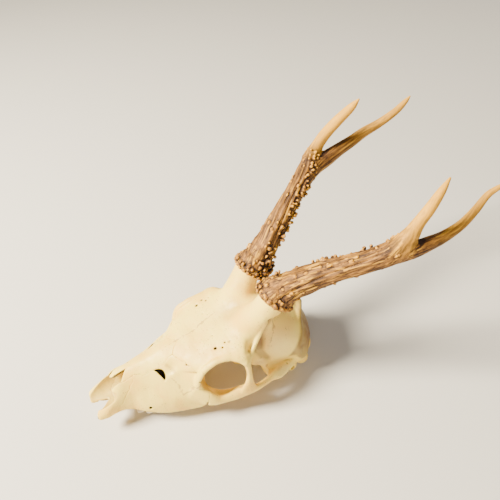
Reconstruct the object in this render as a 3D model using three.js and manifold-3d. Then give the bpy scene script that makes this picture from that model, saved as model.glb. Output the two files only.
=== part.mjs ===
// Upper skull of an adult roebuck with its two forked antlers, life size, in millimetres.
// The skull rests on its cheek teeth and on the two processes beside the occipital condyles.
// +Z is up, +Y runs from the nose to the back of the head, +X is the animal's left.
// Stations are measured back from where an unbroken nose tip would be, and heights from the
// rim of the tooth sockets, so a point of the bone is (side, station, height).

import * as THREE from 'three';
import { LoftGeometry } from 'three/addons/geometries/LoftGeometry.js';
import { mergeVertices } from 'three/addons/utils/BufferGeometryUtils.js';
import Module from 'manifold-3d';

const wasm = await Module();
wasm.setup();

// ---- driving dimensions ----

const JOINT_GAP = 0.3; // clear gap between neighbouring bones
const RING_SIDES = 18; // points round each section of the head
const ANTLER_SIDES = 10;

// Side view of the muzzle and cheeks: [station, value].
const FACE_ROOF = [[24, 7], [28, 12], [33, 18], [39, 26], [44, 33.2], [50, 37.2], [56, 39.7],
	[62, 41.6], [72, 45.5], [82, 50.5], [93, 54.5], [104, 57], [113, 57]];
const FACE_FLOOR = [[24, 1], [32, 1], [45, 2.5], [55, 1.5], [70, 0], [90, 0], [104, 1], [113, 6]];
const FACE_HALF_WIDTH = [[24, 12.8], [28, 14.4], [34, 15.2], [46, 14.4], [54, 16], [62, 20.5],
	[72, 25], [82, 28.5], [90, 30.5], [98, 32.5], [106, 34], [113, 30]];
const FACE_WIDEST_HEIGHT = [[24, 3.5], [32, 5], [46, 9], [60, 10], [75, 11], [90, 13], [104, 17], [113, 20]];
const FACE_ROOF_POWER = [[24, 2.2], [40, 2.3], [55, 1.75], [75, 1.6], [92, 2], [104, 2.7], [113, 2.7]];
const FACE_FLOOR_POWER = [[24, 2.6], [50, 2.6], [70, 4], [113, 3]];
const FACE_STATIONS = [24, 27, 33, 39.5, 44, 52, 60, 70, 80, 90, 98, 105, 113];

// Side view of the forehead and braincase.
const HEAD_ROOF = [[90, 51], [97, 55], [105, 58.5], [114, 62.5], [124, 67], [134, 71.5], [145, 75.5],
	[155, 77.5], [165, 76], [175, 72], [185, 66.5], [193, 60.5], [199, 53], [202.5, 45]];
const HEAD_FLOOR = [[90, 34], [105, 31], [118, 29], [135, 27], [143, 22.5], [150, 19.5], [165, 18],
	[180, 16.5], [195, 15.5], [202.5, 22]];
const HEAD_HALF_WIDTH = [[90, 18], [97, 25], [104, 29.5], [112, 31], [118, 32], [125, 33.4], [130, 35.6],
	[135, 36.5], [140.5, 31], [146, 26.4], [152, 26.4], [160, 29], [170, 31], [180, 31.5], [188, 30],
	[195, 26], [199, 20.5], [202.5, 13]];
const HEAD_WIDEST_HEIGHT = [[90, 44], [104, 50], [114, 55], [125, 58], [135, 58], [142, 50], [149, 43],
	[158, 41], [170, 41], [185, 39], [202.5, 35]];
const HEAD_ROOF_POWER = [[90, 2], [104, 2.8], [120, 3.4], [135, 2.7], [150, 2.5], [170, 2.4], [188, 2.1],
	[202.5, 2.1]];
const HEAD_FLOOR_POWER = [[90, 1], [104, 1], [120, 0.95], [135, 1.05], [142, 1.6], [149, 3], [158, 2.3],
	[172, 1.8], [185, 2], [202.5, 2.2]];
const HEAD_STATIONS = [91, 98, 106, 113, 120, 127, 134, 139, 144, 151, 160, 170, 180, 190, 197, 202.5];

// Nose opening, seen from the side and from above.
const NOSE_STATIONS = [18, 26, 34, 41, 45.5, 48, 54, 66];
const NOSE_FLOOR = [[18, 3], [30, 5], [46, 8], [66, 20]];
const NOSE_ROOF = [[18, 14], [32, 24], [38, 25.4], [41, 26.6], [45.5, 31], [48, 33], [54, 35.6], [66, 38]];
const NOSE_HALF_WIDTH = [[18, 7], [26, 9], [36, 11.2], [43, 10.6], [48, 8.6], [54, 8.2], [66, 5]];
const NOTCH = { front: 22, depth: 15.2, mouth: 4.4, end: 0.7 }; // between the tips of the premaxillae
const NOSE_TOP = { half: 7, front: 30, back: 63, low: 22 }; // open between the free nasal tips
// Planes along which thin tips have broken off: the bone, a point, and the way out of the bone.
const BREAKS = [
	{ bone: 'premaxilla_left', point: [0, 37.2, 0], way: [-0.66, -0.75, 0] },
	{ bone: 'premaxilla_left', point: [11.6, 26.6, 0], way: [0.5, -0.87, 0] },
	{ bone: 'nasal_left', point: [0, 54, 0], way: [-0.64, -0.77, 0] },
];
const ETHMOID_OPENING = { at: [17.5, 76.6, 44], radii: [7, 4.4, 2.6] }; // gap in the cheek beside each nasal

// Nasal bones: thickness and plan outline, [half width, station].
const NASAL_THICKNESS = 3.2;
const NASAL_OUTLINE = [[0, 46], [1.4, 42.6], [3, 41.4], [5, 44.6], [7.6, 49], [6.4, 55], [7, 61],
	[9.4, 66.2], [9.9, 74], [10.6, 80], [8, 88], [0, 94.5]];

// Seams that part the skull into bones.
const NASAL_SPAN = { low: 18, high: 70 };
const FACE_SEAM = { reach: 90, front: -40, sweep: 0.4, lean: 0.24 }; // sweep back for each mm outwards
const PREMAXILLA_SEAM = { station: 57, height: 34, back: 0.85, up: 0.5 };
const CHEEK_SEAM = { front: 107, bend: 126, unbend: 132, back: 161, inner: 27.5, rearInner: 32.6, top: 48 };

// Orbits: the eyeball's hollow, and the raised brow over it as [side, station, height, tall, thick].
const ORBIT = { at: [37, 120.3, 40.8], radii: [30, 18, 18.8] };
const BEHIND_JAW = { at: [21, 124, 18], radii: [14, 18, 22] }; // open to below, behind the last molars
const BROW = [[30.5, 100.6, 36, 7, 5], [31, 101.4, 45, 6.5, 5], [31.4, 104.6, 53, 5.5, 4.8],
	[31.2, 112, 58.2, 5, 4.6], [31.4, 118.5, 60, 5, 4.4], [32.4, 125, 60.8, 5, 4.4],
	[35, 130, 60.2, 5.4, 4.6], [37.4, 134.6, 57.6, 6, 4.8]];
// Bar behind the orbit, lower rim with the cheek arch, the orbit's floor, and the arch's broad root.
const ORBIT_BAR = [[34.5, 134.6, 60, 10, 6], [38, 136.2, 54.4, 5.4, 4.6], [40.2, 137, 46.4, 4.6, 4.2],
	[41.8, 137, 38.8, 6, 4.2], [42.4, 136.8, 31, 12, 4.4], [42.4, 136.8, 27, 12, 4.4]];
const CHEEK_ARCH = [[28, 98, 25, 19, 9], [32.5, 104, 22.5, 17, 7], [35.6, 110, 19, 13, 6.6],
	[37, 117, 17.4, 9.2, 5.6], [38.6, 125, 19.4, 9.2, 5], [41, 132, 25, 11.4, 4.8],
	[42.4, 139, 26.8, 8, 4.6], [41.4, 147, 26.8, 6.8, 4.4], [39.2, 154, 27.2, 6.8, 4.4],
	[36.6, 161.5, 27, 8, 4.8], [33.5, 170, 26.4, 9, 6], [29, 179, 27, 9, 7]];
const ORBIT_FLOOR = [[29.5, 106, 27, 6, 6], [31.4, 112, 21, 6, 7], [32, 119, 16.2, 5.6, 7.4],
	[33.6, 125.5, 16.8, 5.6, 7.2], [36.4, 131, 22, 5.6, 6.4], [39.6, 134.5, 28, 5, 5]];
const ARCH_ROOT = [[19, 168, 23, 24, 10], [25.5, 168, 26, 23, 9.6], [31.6, 166, 26.8, 16, 7.6],
	[36.5, 162, 27, 10, 5]];

// Cheek teeth, well worn: [side, station, width, crown height] along each row.
const CROWN_HEIGHT = 5.5; // of the molars, below the socket rim
const SOCKET_DEPTH = 5;
const TOOTH_ROW = [[11.2, 56.5, 4.5, 3.2], [12, 61, 7, 4], [13.6, 68, 8.5, 4.6], [15.2, 76, 9.6, 5],
	[16.4, 85, 10.4, 5.4], [17, 94, 10.4, 5.5], [16.5, 102, 9.4, 5.5], [15.8, 108, 6, 5.5]];
const TOOTH_LOBES = 9; // three premolars, then three molars of two lobes each
const TOOTH_DIP = 0.2; // how far each gap between lobes cuts in, as a share of the width and height

// Base of the skull: bars as [side, station, height, tall, thick], stalks as [side, station, height, radius].
const PTERYGOID = [[9.5, 101, 16, 27, 3.2], [8.5, 109, 22, 14, 3], [7.5, 117, 28, 5, 3],
	[7.5, 134, 25, 6, 3], [8.5, 144, 19, 13, 3], [8.5, 152, 19, 9, 3]];
const PROCESS_TIP = { station: 189.5, height: 5 }; // beside the condyles, where the back of the skull rests
const OCCIPITAL_PROCESS = [[21, 189, 28, 7], [18.5, 190.5, 18, 5], [17, 190.3, 10, 4],
	[16.4, PROCESS_TIP.station, PROCESS_TIP.height - 0.5, 3]];
const PEDICLE = [[13, 143, 62, 13.5], [15.6, 149.5, 75, 12], [18.2, 154.3, 85, 10.4],
	[19.8, 158.6, 94, 10.2], [20.8, 162.4, 104, 10.2]];
const BULLA = { at: [14.5, 172, 17.5], radii: [7.5, 12, 8.5] };
const CONDYLE = { at: [9.5, 199, 18], radii: [8, 8.5, 10] };
const MASTOID = { at: [25, 187, 30], radii: [6, 8, 11] };
const NECK_KNOB = { at: [22.5, 193, 17.5], radii: [5, 5.6, 6] };
const FORAMEN_MAGNUM = { at: [0, 207, 27.5], radii: [9, 17, 8] };

// Antlers: [side, station, height, radius] along the beam and front tine, and along the rear tine.
// The right one is slightly unlike its mirror image.
const ANTLERS = {
	left: {
		sign: 1,
		main: [[20.8, 160, 99.2, 10.5], [20.8, 160.4, 99.9, 13.8], [20.8, 161.7, 102, 14],
			[21.8, 164.4, 105.8, 11.2], [27.2, 172.2, 115.6, 9.8], [34.8, 184.3, 127.6, 8.8],
			[43.8, 197.2, 138.9, 7.8], [52.7, 212.3, 150.4, 7.2], [56.8, 220.8, 158.7, 6.9],
			[58, 226.7, 168.7, 5.4], [57.7, 230.4, 177.6, 4], [57.2, 235.9, 187.3, 3.5],
			[54.7, 242.9, 196.5, 2.5], [51.8, 248.9, 202.5, 1.2]],
		rear: [[52, 212, 150, 4.5], [56.2, 219.6, 155, 5.8], [60.8, 228.6, 158.9, 5.5],
			[62, 241.7, 162.9, 4.6], [61.5, 251.8, 165, 3.8], [59.8, 264.9, 169.8, 3.1],
			[57.1, 275.1, 176.6, 2.7], [54.4, 283.6, 184.4, 2.2], [54.8, 290.4, 189.4, 1.6],
			[55.6, 296, 193, 0.9]],
		frontCut: [58, 228.5, 173],
		rearCut: [61.9, 243, 163.2],
	},
	right: {
		sign: -1,
		main: [[19.3, 159.5, 91.6, 10.5], [19.4, 159.9, 92.2, 13.8], [19.6, 161.2, 94.3, 14],
			[20.8, 164.6, 98.8, 11.2], [23.6, 172.6, 108.6, 9.2], [31, 185.6, 124.5, 8.1],
			[38.2, 197.1, 135.6, 7.5], [43.9, 206.4, 143.2, 7.3], [51.2, 216.1, 151.5, 6.9],
			[56.8, 221.4, 158.4, 5.9], [59.3, 226.4, 164.6, 4.8], [59.7, 231.9, 173.5, 4.4],
			[56.7, 238.9, 185.6, 4], [52.7, 245.8, 197.2, 3], [50.7, 249.4, 204, 1.2]],
		rear: [[46, 210.6, 145, 5], [51.8, 222.9, 151.7, 6.4], [54.7, 233.5, 155.2, 6.2],
			[57.1, 244.6, 159.4, 5.3], [58.4, 257.2, 165, 4.6], [58.5, 266.4, 170.8, 4.1],
			[56.1, 278.2, 178.8, 3.3], [54.8, 288.7, 187, 2.8], [55.2, 295.8, 193.6, 2.1],
			[55.8, 300, 197.8, 1.1]],
		frontCut: [59.7, 231, 172],
		rearCut: [57, 243, 158.8],
	},
};
const FRONT_TINE_AXIS = [-0.05, 0.42, 0.9];
const REAR_TINE_AXIS = [0.03, 0.99, 0.14];
const PEARLS_ALONG = 34; // rows of pearls from the burr to the fork
const PEARL_DEPTH = 0.1; // share of the radius, fading towards the fork

const BONE = { color: 0xe6d8b4, roughness: 0.62, metalness: 0 };
const BONE_WARM = { color: 0xdcc898, roughness: 0.62, metalness: 0 };
const ANTLER_BROWN = { color: 0x9a6f3c, roughness: 0.55, metalness: 0 };
const ANTLER_TIP = { color: 0xd0ab72, roughness: 0.45, metalness: 0 };

// ---- general helpers ----

// A smooth curve through [station, value] pairs, as a function of the station.
function profile(pairs) {
	const stations = pairs.map((pair) => pair[0]);
	const values = pairs.map((pair) => pair[1]);
	const spline = new THREE.CubicInterpolant(stations, values, 1, [0]);
	return (station) => spline.evaluate(station)[0];
}

function toSolid(geometry) {
	const bare = new THREE.BufferGeometry().copy(geometry);
	bare.deleteAttribute('normal');
	bare.deleteAttribute('uv');
	const merged = mergeVertices(bare, 1e-4);
	return new wasm.Manifold(new wasm.Mesh({
		numProp: 3,
		vertProperties: new Float32Array(merged.attributes.position.array),
		triVerts: new Uint32Array(merged.index.array),
	}));
}

function toGeometry(solid) {
	const mesh = solid.getMesh();
	const geometry = new THREE.BufferGeometry();
	geometry.setAttribute('position', new THREE.BufferAttribute(new Float32Array(mesh.vertProperties), 3));
	geometry.setIndex(new THREE.BufferAttribute(new Uint32Array(mesh.triVerts), 1));
	return geometry;
}

function joined(solids) {
	return solids.reduce((whole, solid) => whole.add(solid));
}

// A geometry whose triangles are listed by index.
function indexed(geometry) {
	if (geometry.index) {
		return geometry;
	}
	return mergeVertices(geometry.deleteAttribute('normal').deleteAttribute('uv'));
}

// The same piece on the animal's right, with its faces turned to point out again.
function mirrored(geometry) {
	const flip = new THREE.Matrix4().makeScale(-1, 1, 1);
	const mirror = new THREE.BufferGeometry().copy(geometry).applyMatrix4(flip);
	const index = mirror.index.array;
	for (let i = 0; i < index.length; i += 3) {
		[index[i], index[i + 2]] = [index[i + 2], index[i]];
	}
	return mirror;
}

function onBothSides(geometry) {
	return [toSolid(geometry), toSolid(mirrored(geometry))];
}

function loft(sections) {
	return new LoftGeometry(sections, { closed: true, capStart: true, capEnd: true });
}

function ellipsoid(centre, radii, widthSegments = 16, heightSegments = 10) {
	const ball = new THREE.SphereGeometry(1, widthSegments, heightSegments);
	return ball.scale(...radii).translate(...centre);
}

// A rounded section across the head: a superellipse whose upper and lower halves differ.
function headSection(station, sides, size) {
	const points = [];
	for (let i = 0; i < sides; i++) {
		const angle = (i / sides) * 2 * Math.PI;
		const across = Math.cos(angle);
		const up = Math.sin(angle);
		const power = up >= 0 ? size.roofPower(station) : size.floorPower(station);
		const middle = size.widestHeight(station);
		const reach = up >= 0 ? size.roof(station) - middle : middle - size.floor(station);
		const side = -size.halfWidth(station) * Math.sign(across) * Math.abs(across) ** (2 / power);
		const height = middle + reach * Math.sign(up) * Math.abs(up) ** (2 / power);
		points.push(new THREE.Vector3(side, station, height));
	}
	return points;
}

// A bar of oval section along a curve. Its tall axis keeps to the direction given.
function bar(stations, tallDirection, sides = 10, steps = 1) {
	const path = new THREE.CatmullRomCurve3(stations.map((s) => new THREE.Vector3(s[0], s[1], s[2])));
	const rings = (stations.length - 1) * steps;
	const sections = [];
	for (let k = 0; k <= rings; k++) {
		const share = k / rings;
		const centre = path.getPoint(share);
		const tangent = path.getTangent(share);
		const thickAxis = new THREE.Vector3().crossVectors(tallDirection, tangent).normalize();
		const tallAxis = new THREE.Vector3().crossVectors(tangent, thickAxis);
		const from = Math.min(Math.floor(share * (stations.length - 1)), stations.length - 2);
		const part = share * (stations.length - 1) - from;
		const tall = THREE.MathUtils.lerp(stations[from][3], stations[from + 1][3], part) / 2;
		const thick = THREE.MathUtils.lerp(stations[from][4], stations[from + 1][4], part) / 2;
		sections.push(ovalRing(centre, thickAxis, tallAxis, thick, tall, sides));
	}
	return loft(sections);
}

function ovalRing(centre, acrossAxis, upAxis, across, up, sides) {
	const points = [];
	for (let i = 0; i < sides; i++) {
		const angle = (i / sides) * 2 * Math.PI;
		points.push(centre.clone()
			.addScaledVector(acrossAxis, across * Math.cos(angle))
			.addScaledVector(upAxis, up * Math.sin(angle)));
	}
	return points;
}

// A round stalk along a curve. relief(share, angle) gives each point's share of the radius.
function stalk(stations, sides, rings, relief = () => 1) {
	const path = new THREE.CatmullRomCurve3(stations.map((s) => new THREE.Vector3(s[0], s[1], s[2])));
	const radius = profile(stations.map((s, i) => [i / (stations.length - 1), s[3]]));
	const frames = path.computeFrenetFrames(rings, false);
	const sections = [];
	for (let k = 0; k <= rings; k++) {
		const share = k / rings;
		const centre = path.getPointAt(share);
		const points = [];
		for (let i = 0; i < sides; i++) {
			const angle = (i / sides) * 2 * Math.PI;
			const reach = radius(path.getUtoTmapping(share)) * relief(share, angle);
			points.push(centre.clone()
				.addScaledVector(frames.normals[k], reach * Math.cos(angle))
				.addScaledVector(frames.binormals[k], reach * Math.sin(angle)));
		}
		sections.push(points);
	}
	return loft(sections);
}

// A large block on the far side of a plane, for parting a solid with a thin cut.
function halfSpace(point, direction) {
	const size = 400;
	const block = new THREE.BoxGeometry(size, size, size).translate(0, 0, size / 2);
	const up = new THREE.Vector3(0, 0, 1);
	const turn = new THREE.Quaternion().setFromUnitVectors(up, direction.clone().normalize());
	return toSolid(block.applyQuaternion(turn).translate(point.x, point.y, point.z));
}

// The parts of a solid behind and in front of a plane, half a gap from it each.
function parted(solid, point, direction) {
	const step = direction.clone().normalize().multiplyScalar(JOINT_GAP / 2);
	const behind = solid.intersect(halfSpace(point.clone().sub(step), direction.clone().negate()));
	const ahead = solid.intersect(halfSpace(point.clone().add(step), direction));
	return [behind, ahead];
}

// ---- the skull ----

function faceSize(inset = 0) {
	const roof = profile(FACE_ROOF);
	const halfWidth = profile(FACE_HALF_WIDTH);
	return {
		roof: (station) => roof(station) - inset,
		floor: profile(FACE_FLOOR),
		halfWidth: (station) => halfWidth(station) - inset,
		widestHeight: profile(FACE_WIDEST_HEIGHT),
		roofPower: profile(FACE_ROOF_POWER),
		floorPower: profile(FACE_FLOOR_POWER),
	};
}

function headSize() {
	return {
		roof: profile(HEAD_ROOF),
		floor: profile(HEAD_FLOOR),
		halfWidth: profile(HEAD_HALF_WIDTH),
		widestHeight: profile(HEAD_WIDEST_HEIGHT),
		roofPower: profile(HEAD_ROOF_POWER),
		floorPower: profile(HEAD_FLOOR_POWER),
	};
}

function noseSize() {
	const roof = profile(NOSE_ROOF);
	const floor = profile(NOSE_FLOOR);
	return {
		roof,
		floor,
		halfWidth: profile(NOSE_HALF_WIDTH),
		widestHeight: (station) => (roof(station) + floor(station)) / 2,
		roofPower: () => 2.6,
		floorPower: () => 2.6,
	};
}

function block(stations, size, sides = RING_SIDES) {
	return toSolid(loft(stations.map((station) => headSection(station, sides, size))));
}

// A vertical prism over a plan outline of [side, station] points, from one height to another.
function prism(outline, low, high) {
	const shape = new THREE.Shape(outline.map((point) => new THREE.Vector2(...point)));
	const solid = new THREE.ExtrudeGeometry(shape, { depth: high - low, bevelEnabled: false });
	return solid.translate(0, 0, low);
}

// The wedge-shaped gap between the premaxillae, open to the front.
function premaxillaNotch() {
	const back = NOTCH.front + NOTCH.depth;
	const left = [[NOTCH.mouth, NOTCH.front], [NOTCH.end, back]];
	const right = [[-NOTCH.end, back], [-NOTCH.mouth, NOTCH.front]];
	return toSolid(prism([...left, ...right], -10, 30));
}

// The top of the nose opening, between the free tips of the nasals.
function noseTop() {
	const { half, front, back, low } = NOSE_TOP;
	return toSolid(prism([[half, front], [half, back], [-half, back], [-half, front]], low, low + 30));
}

function toothRow() {
	const path = new THREE.CatmullRomCurve3(TOOTH_ROW.map((t) => new THREE.Vector3(t[0], t[1], 0)));
	const along = (column) => profile(TOOTH_ROW.map((t, i) => [i / (TOOTH_ROW.length - 1), t[column]]));
	const width = along(2);
	const crownHeight = along(3);
	const rings = TOOTH_LOBES * 2;
	const sections = [];
	for (let k = 0; k <= rings; k++) {
		const share = path.getUtoTmapping(k / rings);
		const fill = k % 2 === 0 ? 1 - TOOTH_DIP : 1; // less between two lobes
		const half = (width(share) / 2) * fill;
		const crown = -crownHeight(share) * fill;
		const middle = path.getPoint(share);
		const at = (side, height) => new THREE.Vector3(middle.x + side, middle.y, height);
		sections.push([at(half, crown * 0.6), at(half * 0.6, crown), at(-half * 0.6, crown),
			at(-half, crown * 0.6), at(-half, SOCKET_DEPTH), at(half, SOCKET_DEPTH)]);
	}
	return loft(sections);
}

// The skull tips back onto its last molars and the processes beside its condyles.
const LAST_MOLAR = TOOTH_ROW[TOOTH_ROW.length - 1][1];
const REST_TILT = Math.atan2(PROCESS_TIP.height + CROWN_HEIGHT, PROCESS_TIP.station - LAST_MOLAR);

function floorSolid() {
	const contact = new THREE.Vector3(0, PROCESS_TIP.station, PROCESS_TIP.height);
	return halfSpace(contact, new THREE.Vector3(0, Math.sin(REST_TILT), -Math.cos(REST_TILT)));
}

function pedicleTops() {
	return Object.values(ANTLERS).map((antler) => {
		const [base, top] = burrAxis(antler);
		return halfSpace(base, top.sub(base));
	});
}

// Two points on the axis of an antler's burr, the first on the seam with the pedicle.
function burrAxis(antler) {
	const [base, top] = [antler.main[0], antler.main[2]];
	return [base, top].map((point) => new THREE.Vector3(point[0] * antler.sign, point[1], point[2]));
}

function skull() {
	const upright = new THREE.Vector3(0, 0, 1);
	const backward = new THREE.Vector3(0, 1, 0);
	const sidePieces = [
		bar(PTERYGOID, upright, 6),
		stalk(PEDICLE, 10, 4),
		stalk(OCCIPITAL_PROCESS, 6, 3),
		toothRow(),
		ellipsoid(BULLA.at, BULLA.radii, 8, 6),
		ellipsoid(CONDYLE.at, CONDYLE.radii, 8, 6),
		ellipsoid(MASTOID.at, MASTOID.radii, 8, 6),
		ellipsoid(NECK_KNOB.at, NECK_KNOB.radii, 8, 4),
		bar(BROW, new THREE.Vector3(1, 0, 0), 8),
	].flatMap(onBothSides);
	const hollows = [
		ellipsoid(ORBIT.at, ORBIT.radii, 16, 9),
		ellipsoid(BEHIND_JAW.at, BEHIND_JAW.radii, 10, 6),
		ellipsoid(ETHMOID_OPENING.at, ETHMOID_OPENING.radii, 6, 4),
	].flatMap(onBothSides);
	const rims = [
		bar(CHEEK_ARCH, upright, 8),
		bar(ORBIT_FLOOR, upright, 6),
		bar(ORBIT_BAR, backward, 8),
		bar(ARCH_ROOT, backward, 8),
	].flatMap(onBothSides);
	const foramen = toSolid(ellipsoid(FORAMEN_MAGNUM.at, FORAMEN_MAGNUM.radii, 10, 6));
	const core = joined([block(FACE_STATIONS, faceSize()), block(HEAD_STATIONS, headSize()), ...sidePieces])
		.subtract(joined(hollows))
		.subtract(block(NOSE_STATIONS, noseSize(), 12))
		.subtract(premaxillaNotch())
		.subtract(foramen);
	return joined([core, ...rims]).subtract(joined([floorSolid(), ...pedicleTops()]));
}

// The space of both nasal bones: inside their plan outline, and near the skin of the face.
function nasalSpace(growth) {
	const middle = 60; // station about which the outline grows
	const left = NASAL_OUTLINE.map(([side, station]) => {
		return [side + growth, station + growth * Math.sign(station - middle)];
	});
	const right = left.slice(1, -1).reverse().map(([side, station]) => [-side, station]);
	left[0][0] = 0;
	left[left.length - 1][0] = 0;
	const upright = toSolid(prism([...left, ...right], NASAL_SPAN.low, NASAL_SPAN.high));
	return upright.subtract(block(FACE_STATIONS, faceSize(NASAL_THICKNESS + growth)));
}

// Everything in front of the seam that runs from the nasals' root out to the orbits.
function faceSpace(shift) {
	const { reach, front, sweep, lean } = FACE_SEAM;
	const root = NASAL_OUTLINE[NASAL_OUTLINE.length - 1][1] + shift;
	const back = reach * sweep;
	const outline = [[-reach, front - root], [reach, front - root], [reach, back], [0, 0], [-reach, back]];
	const top = profile(FACE_ROOF)(root);
	return toSolid(prism(outline, -reach, reach).rotateX(lean).translate(0, root, top));
}

// Everything in front of the slanting seam between the premaxillae and the face.
function premaxillaSpace(shift) {
	const { station, height, back, up } = PREMAXILLA_SEAM;
	return halfSpace(new THREE.Vector3(0, station + shift, height), new THREE.Vector3(0, -back, up));
}

// The space of one cheekbone: outside the braincase, below the middle of the bar behind the orbit.
function cheekSpace(sign, growth) {
	const { front, bend, unbend, back, inner, rearInner, top } = CHEEK_SEAM;
	const outline = [[inner - growth, front - growth], [70, front - growth], [70, back + growth],
		[rearInner - growth, back + growth], [rearInner - growth, unbend], [inner - growth, bend]];
	const space = prism(outline, -20, top + growth);
	return toSolid(sign > 0 ? space : mirrored(indexed(space)));
}

function sideSpace(sign) {
	return halfSpace(new THREE.Vector3((JOINT_GAP / 2) * sign, 0, 0), new THREE.Vector3(sign, 0, 0));
}

function skullBones() {
	const whole = skull();
	const sides = { left: 1, right: -1 };
	const nasals = whole.intersect(nasalSpace(0));
	const belowNasals = whole.subtract(nasalSpace(JOINT_GAP));
	const cheeks = joined([cheekSpace(1, JOINT_GAP), cheekSpace(-1, JOINT_GAP)]);
	const premaxillae = belowNasals.intersect(premaxillaSpace(0)).subtract(noseTop());
	const rest = belowNasals.subtract(premaxillaSpace(JOINT_GAP)).subtract(cheeks);
	const bones = {
		face: rest.intersect(faceSpace(0)),
		braincase: rest.subtract(faceSpace(JOINT_GAP)),
	};
	for (const [side, sign] of Object.entries(sides)) {
		bones[`nasal_${side}`] = nasals.intersect(sideSpace(sign));
		bones[`premaxilla_${side}`] = premaxillae.intersect(sideSpace(sign));
		bones[`cheekbone_${side}`] = whole.intersect(cheekSpace(sign, 0));
	}
	for (const { bone, point, way } of BREAKS) {
		const broken = halfSpace(new THREE.Vector3(...point), new THREE.Vector3(...way));
		bones[bone] = bones[bone].subtract(broken);
	}
	return bones;
}

// ---- the antlers ----

// Rows of pearls round the beam: largest at the burr, gone at the fork.
function pearls(share, angle) {
	const fade = Math.max(0, 1 - share / 0.62);
	const row = Math.sin(share * PEARLS_ALONG * Math.PI);
	const round = Math.sin(angle * 5 + share * 40);
	return 1 + PEARL_DEPTH * fade * row * round;
}

function antlerPieces(antler) {
	const placed = (stations) => stations.map(([side, ...others]) => [side * antler.sign, ...others]);
	const axis = ([x, y, z]) => new THREE.Vector3(x * antler.sign, y, z);
	const main = toSolid(stalk(placed(antler.main), ANTLER_SIDES, 30, pearls));
	const rear = toSolid(stalk(placed(antler.rear), ANTLER_SIDES, 15));
	const [base, top] = burrAxis(antler);
	const upward = top.sub(base).normalize();
	const aboveSeam = halfSpace(base.addScaledVector(upward, JOINT_GAP), upward);
	const [below, frontTine] = parted(main, axis(antler.frontCut), axis(FRONT_TINE_AXIS));
	const [fork, rearTine] = parted(rear, axis(antler.rearCut), axis(REAR_TINE_AXIS));
	return { beam: below.add(fork).intersect(aboveSeam), front_tine: frontTine, rear_tine: rearTine };
}

// ---- the group: the skull's own frame, tipped back onto its rests and centred on its footprint ----

const head = new THREE.Group();

function addPiece(name, solid, look) {
	const mesh = new THREE.Mesh(toGeometry(solid), new THREE.MeshStandardMaterial(look));
	mesh.name = name;
	head.add(mesh);
}

for (const [name, solid] of Object.entries(skullBones())) {
	addPiece(name, solid, name.startsWith('premaxilla') ? BONE_WARM : BONE);
}
for (const [side, antler] of Object.entries(ANTLERS)) {
	for (const [piece, solid] of Object.entries(antlerPieces(antler))) {
		addPiece(`antler_${side}_${piece}`, solid, piece === 'beam' ? ANTLER_BROWN : ANTLER_TIP);
	}
}
head.rotation.x = -REST_TILT;

const group = new THREE.Group();
group.add(head);
const box = new THREE.Box3().setFromObject(group, true);
const centre = box.getCenter(new THREE.Vector3());
group.position.set(-centre.x, -centre.y, -box.min.z);

export default group;
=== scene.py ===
# An adult roebuck's upper skull with its two pearled antlers, life size, lying on a pale table.
# Shapes are worked out in the skull's own measures, in millimetres: side is the animal's left,
# station runs back from where an unbroken nose tip would be, and height is above the rim of the
# tooth sockets. Each bone is then set down in the frame, in metres.

import math

import bpy
import numpy as np
import openvdb
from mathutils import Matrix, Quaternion, Vector


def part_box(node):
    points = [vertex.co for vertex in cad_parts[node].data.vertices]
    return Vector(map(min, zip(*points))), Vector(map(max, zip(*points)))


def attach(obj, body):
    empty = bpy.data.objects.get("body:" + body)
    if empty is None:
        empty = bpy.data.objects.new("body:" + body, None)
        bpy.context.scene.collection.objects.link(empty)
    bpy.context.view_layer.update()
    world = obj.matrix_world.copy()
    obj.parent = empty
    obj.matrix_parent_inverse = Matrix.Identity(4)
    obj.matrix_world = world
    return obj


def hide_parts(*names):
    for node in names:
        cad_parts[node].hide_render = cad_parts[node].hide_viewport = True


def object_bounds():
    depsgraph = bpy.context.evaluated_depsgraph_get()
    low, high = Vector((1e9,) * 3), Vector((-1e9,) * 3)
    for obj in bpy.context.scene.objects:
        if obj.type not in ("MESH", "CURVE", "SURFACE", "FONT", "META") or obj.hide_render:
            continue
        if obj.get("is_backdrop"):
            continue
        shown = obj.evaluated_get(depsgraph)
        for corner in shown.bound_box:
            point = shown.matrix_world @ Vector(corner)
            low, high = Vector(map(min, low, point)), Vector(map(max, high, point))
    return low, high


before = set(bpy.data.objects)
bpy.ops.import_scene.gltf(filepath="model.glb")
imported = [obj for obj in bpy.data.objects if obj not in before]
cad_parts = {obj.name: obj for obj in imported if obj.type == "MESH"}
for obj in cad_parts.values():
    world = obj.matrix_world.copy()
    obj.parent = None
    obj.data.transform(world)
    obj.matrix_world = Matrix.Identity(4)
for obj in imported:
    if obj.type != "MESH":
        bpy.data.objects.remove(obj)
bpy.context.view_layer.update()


# ==== how the skull lies ====
# A roe skull without its lower jaw tips back until its last molars and the two processes beside
# its condyles touch the table. The same two rests set its place here.

MM = 0.001
CROWN_HEIGHT = 5.5  # worn cheek teeth, below the socket rim
LAST_MOLAR_STATION = 108
PROCESS_TIP = {"station": 189.5, "height": 5}
SNOUT_TIP = {"station": 24, "height": 1}

REST_TILT = math.atan2(
    PROCESS_TIP["height"] + CROWN_HEIGHT, PROCESS_TIP["station"] - LAST_MOLAR_STATION
)
TILT_COS = math.cos(REST_TILT)
TILT_SIN = math.sin(REST_TILT)


def tipped(station, height):
    """Where a point of the upright skull lies along Y and Z once it is tipped back."""
    return TILT_COS * station + TILT_SIN * height, TILT_COS * height - TILT_SIN * station


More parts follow.
